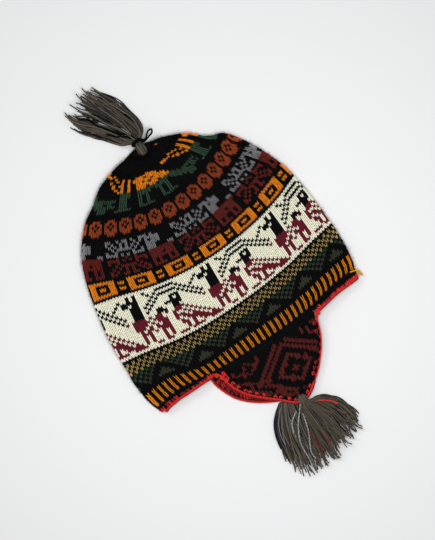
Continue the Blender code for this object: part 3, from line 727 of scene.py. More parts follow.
def yarn_at(row, stitch):
    """The yarn of a stitch of the crown. From the paired rows on, stitch counts pairs."""
    for first_row, first_stitch, lower_rows, lower, upper, ground, chart in CHARTS:
        from_top = first_row + len(chart) - 1 - row
        if 0 <= from_top < len(chart):
            line = chart[from_top]
            marked = line[(stitch - first_stitch) % len(line)] == "#"
            return (lower if row < first_row + lower_rows else upper) if marked else ground
    if row in STROKE_ROWS:
        return HEM_GOLD if stitch % 2 and stitch < FIRST_LIP_STITCH else BLACK
    if row in CHECKED_ROWS:
        return TAN if (stitch + row) % 2 else BLACK
    if row in ZIGZAG:
        peak, clear, dots = ZIGZAG[row]
        from_peak = off_middle(stitch, PEAK_MIDDLE)
        if from_peak <= clear:
            return OLIVE if from_peak <= peak else BLACK
        if off_middle(stitch, DOTS_MIDDLE) in dots:
            return OLIVE if row < FIRST_GREEN_ROW else DARK_GREEN
    return BLACK


def to_linear(colour):
    """Linear colour from sRGB values up to 255."""
    shares = [value / 255.0 for value in colour]
    return tuple(v / 12.92 if v <= 0.04045 else ((v + 0.055) / 1.055) ** 2.4 for v in shares)


def fill(node, **values):
    """A node with values for its sockets, named with underscores for spaces."""
    for socket, value in values.items():
        node.inputs[socket.replace("_", " ")].default_value = value
    return node


def wool(name, colour, sheen=0.2, specular=0.12, variation=0.22):
    """Matt wool: uneven dye, fine fibres as bump and a soft sheen."""
    made = bpy.data.materials.new(name)
    made.use_nodes = True
    nodes, link = made.node_tree.nodes, made.node_tree.links.new
    linear = to_linear(colour)
    shader = fill(
        nodes["Principled BSDF"], Roughness=0.85, Sheen_Weight=sheen, Sheen_Roughness=0.5,
        Specular_IOR_Level=specular, Sheen_Tint=(*[0.4 + 0.6 * v for v in linear], 1.0),
    )
    place = nodes.new("ShaderNodeTexCoord")
    dye = fill(nodes.new("ShaderNodeTexNoise"), Scale=420.0, Detail=5.0, Roughness=0.7)
    fibres = fill(nodes.new("ShaderNodeTexNoise"), Scale=2600.0, Detail=3.0, Distortion=1.5)
    bump = fill(nodes.new("ShaderNodeBump"), Strength=0.35, Distance=0.0004)
    ramp = nodes.new("ShaderNodeValToRGB")
    dark, light = ramp.color_ramp.elements
    dark.position, light.position = 0.30, 0.70
    dark.color = (*[v * (1.0 - variation) for v in linear], 1.0)
    light.color = (*[min(1.0, v * (1.0 + variation) + 0.002) for v in linear], 1.0)
    link(place.outputs["Object"], dye.inputs["Vector"])
    link(place.outputs["Object"], fibres.inputs["Vector"])
    link(dye.outputs["Fac"], ramp.inputs["Fac"])
    link(ramp.outputs["Color"], shader.inputs["Base Color"])
    link(fibres.outputs["Fac"], bump.inputs["Height"])
    link(bump.outputs["Normal"], shader.inputs["Normal"])
    return made


def make_materials():
    """A wool for each yarn and a darker copy of it as painted shade, for the sheet that shows deep between the
    stitches.
    """
    looks = {BLACK: {"sheen": 0.0, "specular": 0.04}, CREAM: {"variation": 0.10}}
    made = {}
    for yarn, (name, colour) in YARNS.items():
        made[yarn] = wool(name, colour, **looks.get(yarn, {}))
        shaded_colour = [value * PAINTED_SHADE_SHARE.get(yarn, OTHER_PAINTED_SHADE_SHARE) for value in colour]
        made[yarn + PAINTED_SHADE_OFFSET] = wool(name + "_painted_shade", shaded_colour, sheen=0.0)
    return made


def put(name, data):
    """A new object in the scene."""
    made = bpy.data.objects.new(name, data)
    bpy.context.scene.collection.objects.link(made)
    return made


def add_piece(name, points, faces, yarns, slot, node):
    """A mesh piece in the frame from points in the hat's measures, with a yarn for each face."""
    mesh = bpy.data.meshes.new(name)
    points = np.stack((points[:, 0], points[:, 1], np.maximum(points[:, 2], FLOOR_CLEAR)), -1) + HAT_ORIGIN
    faces = np.asarray(faces, np.int32)
    corners = faces.shape[1]
    mesh.vertices.add(len(points))
    mesh.vertices.foreach_set("co", points.astype(np.float32).ravel())
    mesh.loops.add(faces.size)
    mesh.loops.foreach_set("vertex_index", faces.ravel())
    mesh.polygons.add(len(faces))
    mesh.polygons.foreach_set("loop_start", np.arange(0, faces.size, corners, dtype=np.int32))
    mesh.polygons.foreach_set("loop_total", np.full(len(faces), corners, np.int32))
    used = np.unique(yarns)
    for yarn in used:
        mesh.materials.append(MATERIALS[int(yarn)])
    mesh.polygons.foreach_set("material_index", np.searchsorted(used, yarns).astype(np.int32))
    mesh.update(calc_edges=True)
    mesh.validate()
    mesh.shade_smooth()
    made = put(name, mesh)
    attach(made, "root")
    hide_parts(node)


def join(parts):
    """One list of points, faces and yarns out of several."""
    starts = np.cumsum([0] + [len(part[0]) for part in parts])
    points = np.concatenate([part[0] for part in parts])
    faces = np.concatenate([part[1] + start for part, start in zip(parts, starts)])
    return points, faces, np.concatenate([part[2] for part in parts])


def leg_faces():
    """The quads of one leg."""
    rings, across = len(LEG_UP), len(LEG_ACROSS)
    corners = [ring * across + step for ring in range(rings - 1) for step in range(across - 1)]
    return np.array([(corner, corner + 1, corner + across + 1, corner + across) for corner in corners])


def knit(rows, stitches, widths, yarns, place, relief):
    """Legs of many stitches. place gives points and normals at rows and stitches."""
    count = len(rows)
    quads = leg_faces()
    wobble = RANDOM.normal(0.0, 1.0, (count, 2, 3))
    wobble *= np.where(yarns == CREAM, CREAM_WOBBLE, WOBBLE)[:, None, None]
    thick = np.array([THINNER.get(int(yarn), 1.0) for yarn in yarns])
    thick = thick * np.where(widths > 1.5, GATHERED_WIDTH, 1.0)
    half = LEG_HALF_WIDTH[None, :, None] * thick[:, None, None]
    parts = []
    for number, side in enumerate((-1.0, 1.0)):
        jitter = wobble[:, number, :, None, None]
        up = LEG_UP[None, :, None] + WOBBLE_UP * jitter[:, 0]
        up = up - side * LEG_TILT * (LEG_ACROSS * LEG_HALF_WIDTH.max())[None, None, :]
        out = side * LEG_OUT[None, :, None] + LEG_ACROSS[None, None, :] * half + WOBBLE_OUT * jitter[:, 1]
        height = LEG_HEIGHT[None, :, None] * LEG_ROUND[None, None, :] * (1.0 + WOBBLE_HEIGHT * jitter[:, 2])
        point, normal = place(rows[:, None, None] + up, stitches[:, None, None] + widths[:, None, None] * out)
        point = point + normal * (np.minimum(height, 1.1) - 1.0)[..., None] * relief
        base = len(LEG_UP) * len(LEG_ACROSS) * np.arange(count)[:, None, None]
        parts.append((point.reshape(-1, 3), (base + quads[None]).reshape(-1, 4), np.repeat(yarns, len(quads))))
    return join(parts)


def one_stitch(place, yarn, relief, row=-0.7, stitch=0.0, width=1.0):
    """A single stitch."""
    return knit(np.full(1, row), np.full(1, stitch), np.full(1, width), np.array((yarn,)), place, relief)


def crown_place(row, stitch):
    """Points and normals of the crown, held just above the floor."""
    point = look_up(CROWN_POINTS, row, stitch)
    point[..., 2] = np.maximum(point[..., 2], FLOOR_CLEAR)
    return point, look_up(CROWN_NORMALS, row, stitch)


def crown_stitches(first_row, end_row):
    """Rows, middles, widths and yarns of the crown's stitches between two rows."""
    made = []
    for row in range(first_row, end_row):
        wide = 1 if row < PAIRED_ROW else 2 if row < GATHERED_ROW else 4
        first = -(FACE_STITCHES // 2) - (FACE_STITCHES // 2) % wide
        for stitch in range(first, first + STITCHES, wide):
            single = wide == 1
            made.append((row, stitch + 0.5 * single, wide, yarn_at(row, stitch if single else stitch // 2)))
    rows, middles, widths, yarns = np.array(made, float).T
    return rows, middles, widths, yarns.astype(int)


def stray_stitch():
    """One golden stitch that shows through the black at the top."""
    rows, stitches = np.meshgrid(np.linspace(*STRAY_ROWS, 45), np.linspace(*STRAY_STITCHES, 121), indexing="ij")
    point = crown_place(rows, stitches)[0]
    away = np.hypot(point[..., 0] - STRAY_STITCH[0], point[..., 1] - STRAY_STITCH[1])
    spot = np.unravel_index(away.argmin(), away.shape)

    def raised(row, stitch):
        point, normal = crown_place(row, stitch)
        return point + normal * STRAY_LIFT, normal

    return one_stitch(raised, GOLD, KNIT_RELIEF, rows[spot], stitches[spot], STRAY_WIDTH)


def build_crown():
    """The knitted bag: its stitches in bands over a ground that closes the gaps between them."""
    for name, first_row, end_row in CROWN_BANDS:
        piece = knit(*crown_stitches(first_row, end_row), crown_place, KNIT_RELIEF)
        if end_row == ROWS:
            piece = join((piece, stray_stitch()))
        add_piece(name, *piece, "knit_crown", "crown")
    add_piece("knit_ground", *crown_ground(), "knit_crown", "crown")


def round_quads(low, high):
    """Quads between two lines of points that run round."""
    return np.stack((low, np.roll(low, -1, -1), np.roll(high, -1, -1), high), -1)


def crown_ground():
    """The sheet under the stitches, in darker copies of the chart's yarns as painted shade: an outer sheet and
    an inner one, joined at the hem.
    """
    rows = np.arange(0.0, ROWS + 0.5)
    stitches = np.arange(-FACE_STITCHES // 2, -FACE_STITCHES // 2 + STITCHES)
    grids = np.meshgrid(rows, stitches, indexing="ij")
    point, normal = look_up(CROWN_POINTS, *grids), look_up(CROWN_NORMALS, *grids)
    outer, inner = point - normal * GROUND_INSET, point - normal * GROUND_WALL
    for sheet in (outer, inner):
        sheet[0, :, 1] -= UNDER_EDGING
    inner[-1] = outer[-1] - normal[-1] * TOP_CLOSING
    points = np.concatenate((outer.reshape(-1, 3), inner.reshape(-1, 3)))
    index = np.arange(outer[..., 0].size).reshape(len(rows), len(stitches))
    sheet = round_quads(index[:-1], index[1:])
    sheets = np.stack((sheet, index.size + sheet[..., [0, 3, 2, 1]]), 2)
    hem, top = (round_quads(line, index.size + line) for line in (index[0], index[-1]))
    rims = np.stack((hem[:, [0, 3, 2, 1]], top[:, [1, 2, 3, 0]]), 1)
    # darker copies of the chart's yarns: painted shade deep between the stitches
    yarns = [
        yarn_at(row, stitch if row < PAIRED_ROW else (stitch + 1) // 2) + PAINTED_SHADE_OFFSET
        for row in range(ROWS) for stitch in stitches.tolist()
    ]
    faces = np.concatenate((sheets.reshape(-1, 4), rims.reshape(-1, 4)))
    return points, faces, np.concatenate((np.repeat(yarns, 2), np.full(rims.size // 4, BLACK)))


def seam_line(upper):
    """The middle of the wall at the hem, on the upper or the lower layer, from left to right."""
    turn = np.linspace(math.pi, 0.0, 241) if upper else np.linspace(math.pi + 1e-5, 2.0 * math.pi - 1e-5, 241)
    return (crown_points(0.0, turn) + crown_points(0.0, turn, KNIT_WALL)) / 2.0


class Flap:
    """Where an earflap's knit lies, from places in its plan."""

    def __init__(self, outline, middle, upper):
        shares = np.linspace(0.0, 1.0, 241)
        knots = np.linspace(0.0, 1.0, len(outline))
        self.along, left, right = (smooth_value(knots, outline[:, column], shares) for column in range(3))
        self.left = middle * BODY_WIDTH + left * FLAP_WIDTH
        self.right = middle * BODY_WIDTH + right * FLAP_WIDTH
        self.upper = upper
        self.seam = seam_line(upper)
        self.tip = self.along[-1]

    def at(self, x, along):
        """Points of the middle of the knit at places along X and shares of the flap's length."""
        seam_y = np.interp(x, self.seam[:, 0], self.seam[:, 1])
        seam_z = np.interp(x, self.seam[:, 0], self.seam[:, 2])
        y = seam_y * (1.0 - along) ** 2 - PIECE_GAP - along * FLAP_LENGTH
        ease = along * along * (3.0 - 2.0 * along)
        z = seam_z + (FRONT_FLAP_TIP_LIFT - seam_z) * ease if self.upper else np.full_like(y, FLAP_KNIT / 2.0)
        return np.stack((x, y, z), -1)

    def along_at(self, x, y):
        """Share of the flap's length at places in plan."""
        seam_y = np.maximum(np.interp(x, self.seam[:, 0], self.seam[:, 1]), 1e-5)
        half = 2.0 * seam_y + FLAP_LENGTH
        root = np.sqrt(np.maximum(half ** 2 - 4.0 * seam_y * (seam_y - PIECE_GAP - y), 0.0))
        return (half - root) / 2.0 / seam_y

    def inside(self, x, y, margin):
        """Whether places in plan lie on the flap, at least a margin from its edge."""
        along = self.along_at(x, y)
        left, right = np.interp(along, self.along, self.left), np.interp(along, self.along, self.right)
        return (along > 0.0) & (along < self.tip) & (x > left + margin) & (x < right - margin)

    def face(self, x, y, up):
        """Points and normals of the upper or lower face, held within the outline."""
        along = np.clip(self.along_at(x, y), 0.0, self.tip)
        left, right = np.interp(along, self.along, self.left), np.interp(along, self.along, self.right)
        x = np.clip(x, left, right)
        point = self.at(x, along)
        step = 0.001
        slope_x = (self.at(x + step, along)[..., 2] - self.at(x - step, along)[..., 2]) / (2.0 * step)
        far, near = self.at(x, np.minimum(along + 0.02, 1.0)), self.at(x, along - 0.02)
        slope_y = (far[..., 2] - near[..., 2]) / (far[..., 1] - near[..., 1])
        normal = unit(np.stack((-slope_x, -slope_y, np.ones_like(slope_x)), -1))
        point[..., 2] += up * FLAP_KNIT / 2.0
        point[..., 2] = np.maximum(point[..., 2], FLOOR_CLEAR)
        return point, normal * up


def flap_plan(row, stitch, mirrored):
    """Place in plan of a row and a stitch of a flap."""
    x = FLAP_MIDDLE_X + stitch * np.where(stitch >= 0.0, FLAP_STITCH_RIGHT, FLAP_STITCH_LEFT)
    x = x - (FRONT_FLAP_MIDDLE - BACK_FLAP_MIDDLE) * BODY_WIDTH * mirrored
    return x, FLAP_MIDDLE_Y - row * FLAP_ROW


def flap_yarn(row, stitch):
    """The yarn of a stitch of a flap."""
    line, place = row - FLAP_CHART_ROW, stitch - FLAP_CHART_STITCH
    inside = 0 <= line < len(FLAP_CHART) and 0 <= place < len(FLAP_CHART[0])
    return FLAP_RED if inside and FLAP_CHART[line][place] == "#" else BLACK


def purl(rows, stitches, widths, yarns, place, relief):
    """The bars of many stitches seen from their back."""
    along = np.array((-0.60, -0.25, 0.25, 0.60))
    arch = np.array((-0.28, 0.10, 0.10, -0.28))
    rise = np.array((0.0, 1.0, 1.0, 0.0))
    up = 0.46 * LEG_ACROSS[None, :] + arch[:, None]
    out = np.repeat(along[:, None], 4, axis=1)
    height = rise[:, None] * LEG_ROUND[None, :]
    jitter = RANDOM.normal(0.0, 0.05, (len(rows), 1, 1))
    up = rows[:, None, None] + up + jitter
    point, normal = place(up, stitches[:, None, None] + widths[:, None, None] * out)
    point = point + normal * (height - 1.0)[..., None] * relief
    quads = leg_faces()[:, ::-1]
    base = 16 * np.arange(len(rows))[:, None, None]
    return point.reshape(-1, 3), (base + quads[None]).reshape(-1, 4), np.repeat(yarns, len(quads))


def corner_bites(flap):
    """Larger stitches of the edging over the corners between the hem and the front flap."""
    parts = []
    for x, y, turn in CORNER_BITES:
        middle = np.array((x, y)) / 1000.0
        ahead = np.array((-math.sin(math.radians(turn)), math.cos(math.radians(turn))))
        across = np.array((ahead[1], -ahead[0]))
        height = flap.face(*middle, 1.0)[0][2] + CORNER_BITE_LIFT

        def placed(row, stitch):
            plan = middle + row[..., None] * ahead * CORNER_BITE_SIZE[1]
            plan = plan + stitch[..., None] * across * CORNER_BITE_SIZE[0]
            point = np.concatenate((plan, np.full(plan.shape[:-1] + (1,), height)), -1)
            return point, np.broadcast_to(np.array((0.0, 0.0, 1.0)), point.shape)

        parts.append(one_stitch(placed, EDGE_RED, CORNER_BITE_RELIEF))
    return parts


def bites(flap):
    """The edging's stitches that reach in over the flap's upper face."""
    if flap.upper:
        stitch, row = np.array(BITES).T
        x = FLAP_MIDDLE_X + stitch * FLAP_STITCH_RIGHT
        along = np.clip(flap.along_at(x, FLAP_MIDDLE_Y - row * FLAP_ROW), 0.0, 0.95)
        yarns = np.where((stitch > 5.0) & (row < 5.0), EDGE_DARK, EDGE_RED)
    else:
        along = np.linspace(0.06, 0.86, BACK_BITE_COUNT)
        x = np.interp(along, flap.along, flap.left) + RANDOM.uniform(0.0016, 0.0065, len(along))
        yarns = RANDOM.choice((EDGE_RED, EDGE_DARK), len(along))
    left, right = (np.interp(along, flap.along, side) for side in (flap.left, flap.right))
    x = np.clip(x, left + BITE_MARGIN, right - BITE_MARGIN)
    parts = corner_bites(flap) if flap.upper else []
    for place_x, place_y, yarn in zip(x, flap.at(x, along)[:, 1], yarns):

        def lifted(row, stitch):
            point, normal = flap.face(place_x - stitch * BITE_SIZE[0], place_y - row * BITE_SIZE[1], 1.0)
            return point + normal * BITE_LIFT, normal

        parts.append(one_stitch(lifted, yarn, BITE_RELIEF))
    return join(parts)


def flap_ground(flap, mirrored):
    """The thin closed sheet inside a flap, in darker copies of its chart's yarns as painted shade between the
    stitches.
    """
    line, across = 29, 37
    along = np.linspace(0.0, flap.tip, line)
    left, right = (np.interp(along, flap.along, side) for side in (flap.left, flap.right))
    share = np.linspace(0.0, 1.0, across)
    x = left[:, None] - UNDER_EDGING + (right - left + 2.0 * UNDER_EDGING)[:, None] * share[None]
    along = np.repeat(along[:, None], across, axis=1)
    along[-1] += UNDER_EDGING / FLAP_LENGTH
    middle = flap.at(x, along)
    half = np.array((0.0, 0.0, FLAP_GROUND_HALF))
    points = np.concatenate(((middle + half).reshape(-1, 3), (middle - half).reshape(-1, 3)))
    index = np.arange(x.size).reshape(x.shape)
    quads = np.stack((index[:-1, :-1], index[1:, :-1], index[1:, 1:], index[:-1, 1:]), -1)
    sheets = np.stack((quads, x.size + quads[..., ::-1]), 2).reshape(-1, 4)
    place = (middle[:-1, :-1] + middle[1:, 1:]).reshape(-1, 3) / 2.0
    off = place[:, 0] - FLAP_MIDDLE_X + (FRONT_FLAP_MIDDLE - BACK_FLAP_MIDDLE) * BODY_WIDTH * mirrored
    stitches = np.round(off / np.where(off > 0.0, FLAP_STITCH_RIGHT, FLAP_STITCH_LEFT)).astype(int)
    rows = np.round((FLAP_MIDDLE_Y - place[:, 1]) / FLAP_ROW).astype(int)
    # darker copies of the chart's yarns: painted shade deep between the stitches
    yarns = [flap_yarn(row, stitch) + PAINTED_SHADE_OFFSET for row, stitch in zip(rows, stitches)]
    rim = np.concatenate((index[0], index[1:, -1], index[-1, -2::-1], index[-2:0:-1, 0]))
    faces = np.concatenate((sheets, round_quads(rim, x.size + rim)))
    return points, faces, np.concatenate((np.repeat(yarns, 2), np.full(len(rim), BLACK)))


def build_flap(name, node, flap):
    """One earflap: the right side of its knitting on the outer face, its back on the inner one."""
    rows, stitches = np.meshgrid(
        np.arange(FLAP_FIRST_ROW, FLAP_END_ROW, dtype=float), np.arange(*FLAP_STITCHES), indexing="ij"
    )
    mirrored = 0.0 if flap.upper else 1.0
    x, y = flap_plan(rows, stitches, mirrored)
    kept = flap.inside(x, y + FLAP_MARGIN, FLAP_MARGIN)
    rows, stitches = rows[kept], stitches[kept]
    yarns = np.array([flap_yarn(int(row), int(stitch)) for row, stitch in zip(rows, stitches)])
    outer = 1.0 if flap.upper else -1.0

    def outer_face(row, stitch):
        return flap.face(*flap_plan(row, -stitch * outer, mirrored), outer)

    def inner_face(row, stitch):
        return flap.face(*flap_plan(row, stitch * outer, mirrored), -outer)

    widths = np.ones(len(rows))
    right_side = knit(rows - 0.5, -stitches * outer, widths, yarns, outer_face, FLAP_RELIEF)
    back = purl(rows, stitches * outer, widths, yarns, inner_face, PURL_RELIEF)
    add_piece(name, *join((right_side, back, flap_ground(flap, mirrored), bites(flap))), "knit_flap", node)


def tubes(paths, radii, sides, yarns, reference=(0.0, 0.0, 1.0), closed=False, capped=True):
    """Round strands along many paths of equally many points, with closed ends unless they run round."""
    paths = np.asarray(paths, float)
    radii = np.broadcast_to(radii, paths.shape[:2])
    if closed:
        tangent = np.roll(paths, -1, axis=1) - np.roll(paths, 1, axis=1)
    else:
        tangent = np.gradient(paths, axis=1)
    if capped and not closed:
        tangent = unit(tangent)
        first = paths[:, :1] - tangent[:, :1] * radii[:, :1, None] * 0.3
        last = paths[:, -1:] + tangent[:, -1:] * radii[:, -1:, None] * 0.3
        paths = np.concatenate((first, paths, last), axis=1)
        tangent = np.concatenate((tangent[:, :1], tangent, tangent[:, -1:]), axis=1)
        radii = np.concatenate((radii[:, :1] * 0.1, radii, radii[:, -1:] * 0.1), axis=1)
    tangent = unit(tangent)
    side = unit(np.cross(tangent, np.asarray(reference, float)))
    up = np.cross(side, tangent)
    turn = (2.0 * math.pi * np.arange(sides) / sides)[None, None, :, None]
    ring = side[:, :, None] * np.cos(turn) + up[:, :, None] * np.sin(turn)
    points = paths[:, :, None] + ring * radii[:, :, None, None]
    index = np.arange(points[..., 0].size).reshape(points.shape[:3])
    low, high = (index, np.roll(index, -1, axis=1)) if closed else (index[:, :-1], index[:, 1:])
    quads = round_quads(low, high)[..., ::-1]
    return points.reshape(-1, 3), quads.reshape(-1, 4), np.repeat(yarns, quads[0, ..., 0].size)


def edge_path():
    """The closed run of the edging, along the hem and round both flaps, as in the solid."""
    offset = EDGING_DIAMETER / 2.0 + PIECE_GAP
    outlines = []
    for flap, outline, middle, first_left, first_right in (
        (FRONT, FRONT_FLAP, FRONT_FLAP_MIDDLE, *FRONT_ENDS), (BACK, BACK_FLAP, BACK_FLAP_MIDDLE, *BACK_ENDS)
    ):
        knots = np.linspace(0.0, 1.0, len(outline))
        sides = []
        for column, first in ((1, first_left), (2, first_right)):
            shares = np.linspace(first, 1.0, 61)
            along, side = (smooth_value(knots, outline[:, number], shares) for number in (0, column))
            sides.append(flap.at(middle * BODY_WIDTH + side * FLAP_WIDTH, along))
        line = np.concatenate((sides[0], sides[1][::-1]))
        ahead = unit(np.gradient(line[:, :2], axis=0))
        line[:, 0] += offset * ahead[:, 1]
        line[:, 1] -= offset * ahead[:, 0]
        outlines.append(line)
    front, back = outlines
    clear = 1.5 * EDGING_DIAMETER
    below = np.array((0.0, -offset, 0.0))

    def hem(seam, first_x, last_x, hanging=0.0):
        x = np.linspace(first_x, last_x, 40)
        order = np.argsort(seam[:, 0])
        y, z = (np.interp(x, seam[order, 0], seam[order, axis]) for axis in (1, 2))
        return np.stack((x, y - hanging * hem_drop(x), z), -1) + below

    left_fold, right_fold = FRONT.seam[0], FRONT.seam[-1]
    path = np.concatenate((
        hem(FRONT.seam, left_fold[0], front[0, 0] - clear, 1.0),
        front,
        hem(FRONT.seam, front[-1, 0] + clear, right_fold[0], 1.0),
        hem(BACK.seam, right_fold[0], back[-1, 0] + clear)[1:],
        back[::-1],
        hem(BACK.seam, back[0, 0] - clear, left_fold[0])[:-1],
    ))
    path[:, 2] = np.maximum(path[:, 2], EDGING_DIAMETER / 2.0 + PIECE_GAP / 2.0)
    closed = np.concatenate((path, path[:1]))
    return closed, distances(closed)


def build_edging():
    """The edging: a narrow cord of bright red stitches, four round, with the stitches over the hem."""
    closed, length = edge_path()
    count = int(round(length[-1] / EDGE_STITCH))
    steps = count * 4
    wanted = np.arange(steps) / steps * length[-1]
    line = np.stack([np.interp(wanted, length, closed[:, axis]) for axis in range(3)], -1)
    for _ in range(3):
        line = (np.roll(line, 1, axis=0) + 2.0 * line + np.roll(line, -1, axis=0)) / 4.0
    ahead = unit(np.roll(line, -1, axis=0) - np.roll(line, 1, axis=0))
    side = unit(np.cross(np.array((0.0, 0.0, 1.0)), ahead))
    rise = np.cross(ahead, side)

    def at(values, row):
        place = np.mod(row * 4.0, steps)
        low = place.astype(int) % steps
        share = (place - np.floor(place))[..., None]
        return values[low] * (1.0 - share) + values[(low + 1) % steps] * share

    def place(row, stitch):
        turn = (math.pi / 2.0 * stitch)[..., None]
        normal = at(side, row) * np.cos(turn) + at(rise, row) * np.sin(turn)
        point = at(line, row) + normal * EDGING_DIAMETER / 2.0
        point[..., 2] = np.maximum(point[..., 2], FLOOR_CLEAR)
        return point, normal

    rows, columns = np.meshgrid(np.arange(count, dtype=float), np.arange(4.0) + 0.5, indexing="ij")
    rows, columns = rows.ravel(), columns.ravel()
    yarns = np.where(np.mod(columns - 0.5, 2.0) > 0.5, EDGE_DARK, EDGE_RED)
    x, y, z = at(line, rows).T
    dark_run = (x > DARK_RUN[0]) & (y < DARK_RUN[1]) & (z > DARK_RUN[2])
    inner_side = np.where(np.mod(rows, 3) > 0, BLACK, EDGE_DARK)
    yarns = np.where(dark_run, np.where(columns < 1.0, inner_side, EDGE_RED), yarns)
    widths = np.full(len(rows), EDGE_WIDTH)
    cord = knit(rows + 0.5 * (columns % 2.0 > 1.0), columns, widths, yarns, place, EDGE_RELIEF)
    core = tubes(line[None, ::2], EDGING_DIAMETER / 2.0 - EDGE_RELIEF, 6, [EDGE_DARK], closed=True)
    thread = drawn_strands(((YELLOW, HEM_THREAD, HEM_THREAD_HEIGHTS, HEM_THREAD_RADIUS),))
    add_piece("edging_stitches", *join([cord, core, teeth()] + thread), "edging_yarn", "edging")


def teeth():
    """The edging's stitches over the hem, side by side, each a loop that leans a little."""
    stitches = np.concatenate([np.arange(*run) for run in HEM_RUNS])
    count = len(stitches)
    stitches += RANDOM.normal(0.0, 0.12, count)
    yarns = RANDOM.choice((EDGE_RED, EDGE_DARK), count, p=(0.7, 0.3))
    lengths = RANDOM.uniform(1.0, 1.5, count)
    hems = crown_place(np.zeros(count), stitches)[0]
    lengths /= 1.0 + (stitches < HALF_FACE) * hem_drop(hems[:, 0]) / TOOTH_SHARE_OF_DROP

    def lifted(row, stitch):
        point, normal = crown_place(np.maximum(row, 0.0) * lengths[:, None, None], stitch)
        point = point + normal * TOOTH_LIFT
        point[..., 1] += np.minimum(row, 0.0) * TOOTH_ROOT
        return point, normal

    return knit(np.full(count, -0.35), stitches, np.full(count, TOOTH_WIDTH), yarns, lifted, TOOTH_RELIEF)


def even_line(plan, shares):
    """Places at shares of the length of a smooth line through points in plan, in millimetres, as metres."""
    plan = np.asarray(plan, float) / 1000.0
    knots = distances(plan)
    wanted = np.asarray(shares) * knots[-1]
    return np.stack([smooth_value(knots, plan[:, axis], wanted) for axis in range(2)], -1)


def strand_paths(left, right, tips, start_height, crest, count, neck_radius, wander, clumps):
    """Paths of a tassel's strands, spread between its two outlines and drawn into clumps at the tips."""
    share = np.linspace(0.0, 1.0, 21)
    place = RANDOM.uniform(0.0, 1.0, count)
    centres = (np.arange(clumps) + RANDOM.uniform(*CLUMP_PLACES, clumps)) / clumps
    clump = np.abs(place[:, None] - centres[None]).argmin(axis=1)
    gather = (centres[clump] - place) * RANDOM.uniform(*GATHERING, count)
    gather = np.where((place < OUTER_SHARE) | (place > 1.0 - OUTER_SHARE), 0.0, gather)
    stray = RANDOM.uniform(0.0, 1.0, count) < STRAY_SHARE
    long = RANDOM.uniform(*CLUMP_LENGTHS, clumps)[clump] * RANDOM.uniform(*STRAND_LENGTHS, count)
    long = np.where(stray, RANDOM.uniform(*STRAY_LENGTHS, count), long)
    depth = RANDOM.uniform(0.0, 1.0, count)
    long *= np.interp(depth, *DEPTH_LENGTHS)
    reach = np.minimum(share[None, :] * long[:, None], STRAY_LENGTHS[1])
    across = place[:, None] + gather[:, None] * reach ** 2.2
    left_line, right_line = even_line(left, share), even_line(right, share)
    tips = np.asarray(tips, float) / 1000.0
    tip_shares = np.linspace(0.0, 1.0, len(tips))
    paths = np.zeros((count, len(share), 3))
    for axis in range(2):
        low = np.interp(reach, share, left_line[:, axis])
        high = np.interp(reach, share, right_line[:, axis])
        straight = left_line[-1, axis] * (1.0 - place) + right_line[-1, axis] * place
        extra = np.interp(place, tip_shares, tips[:, axis]) - straight
        beyond = np.maximum(reach - 1.0, 0.0) * (right_line[-1, axis] - right_line[0, axis])
        paths[..., axis] = low * (1.0 - across) + high * across + extra[:, None] * reach ** 1.5 + beyond
    edge = 1.0 - np.abs(2.0 * place - 1.0) ** 2.5
    highest = HIGH_LEVEL + (crest - USUAL_CREST) * edge
    level = (LOW_LEVEL + depth * (highest - LOW_LEVEL)) * LOCK_DIAMETER
    fallen = np.clip(share / FALLING_SHARE, 0.0, 1.0)
    fallen = fallen * fallen * (3.0 - 2.0 * fallen)
    start = start_height + neck_radius * (2.0 * depth - 1.0)
    paths[..., 2] = start[:, None] * (1.0 - fallen) + level[:, None] * fallen
    ahead = unit(np.gradient(paths[..., :2], axis=1))
    sideways = np.stack((ahead[..., 1], -ahead[..., 0]), -1)
    for number in range(3):
        phase = RANDOM.uniform(0.0, 2.0 * math.pi, (2, count, 1))
        size = RANDOM.normal(0.0, wander / (1.0 + number), (2, count, 1)) * np.minimum(1.0, 1.5 * share)
        size = size * np.where(stray, 1.4, 1.0)[None, :, None]
        wave = np.sin((1.3 + 1.4 * number) * math.pi * share + phase)
        paths[..., :2] += sideways * (size[0] * wave[0])[..., None]
        paths[..., 2] += 0.4 * size[1] * wave[1]
    return paths, depth


def strand_yarns(depth, black_share, light_share=0.30):
    """The tassel's browns, darker deep inside as painted shade, with some black strands."""
    chance = RANDOM.uniform(0.0, 1.0, len(depth))
    yarns = np.where(chance < light_share, TASSEL_LIGHT, TASSEL)
    # strands that lie deep are dark, the deepest darker still: painted shade inside the tassel
    yarns = np.where((chance > DARK_CHANCE) | (depth < DARK_DEPTH), TASSEL_DARK, yarns)
    yarns = np.where(depth < PAINTED_SHADE_DEPTH, TASSEL_PAINTED_SHADE, yarns)
    black = (RANDOM.uniform(0.0, 1.0, len(depth)) < black_share) & (depth < DARK_DEPTH)
    return np.where(black, BLACK, yarns)


def wrapped_knob(middle, size, turns):
    """A knob of strands laid over it side by side, round a core."""
    middle = np.asarray(middle)
    turn = np.linspace(0.0, 2.0 * math.pi, 25)[:-1]
    half = size / 2.0 - STRAND_RADIUS
    paths = []
    for number in range(turns):
        across = -KNOB_REACH + 2.0 * KNOB_REACH * number / (turns - 1)
        cut = math.sqrt(1.0 - abs(across) ** KNOB_ROUNDNESS)
        x = middle[0] + across * half[0] + 0.0002 * np.sin(2.0 * turn + number)
        y = middle[1] + cut * half[1] * np.cos(turn)
        paths.append(np.stack((x, y, middle[2] + cut * half[2] * np.sin(turn)), -1))
    paths = np.array(paths)
    yarns = RANDOM.choice((TASSEL, TASSEL_DARK, TASSEL_LIGHT), turns, p=(0.6, 0.25, 0.15))
    wraps = tubes(paths, STRAND_RADIUS, 6, yarns, reference=(1.0, 0.0, 0.0), closed=True)
    core = paths * KNOB_CORE + middle * (1.0 - KNOB_CORE)
    index = np.arange(core[..., 0].size).reshape(core.shape[:2])
    quads = round_quads(index[:-1], index[1:]).reshape(-1, 4)
    return join((wraps, (core.reshape(-1, 3), quads, np.full(len(quads), TASSEL_DARK))))


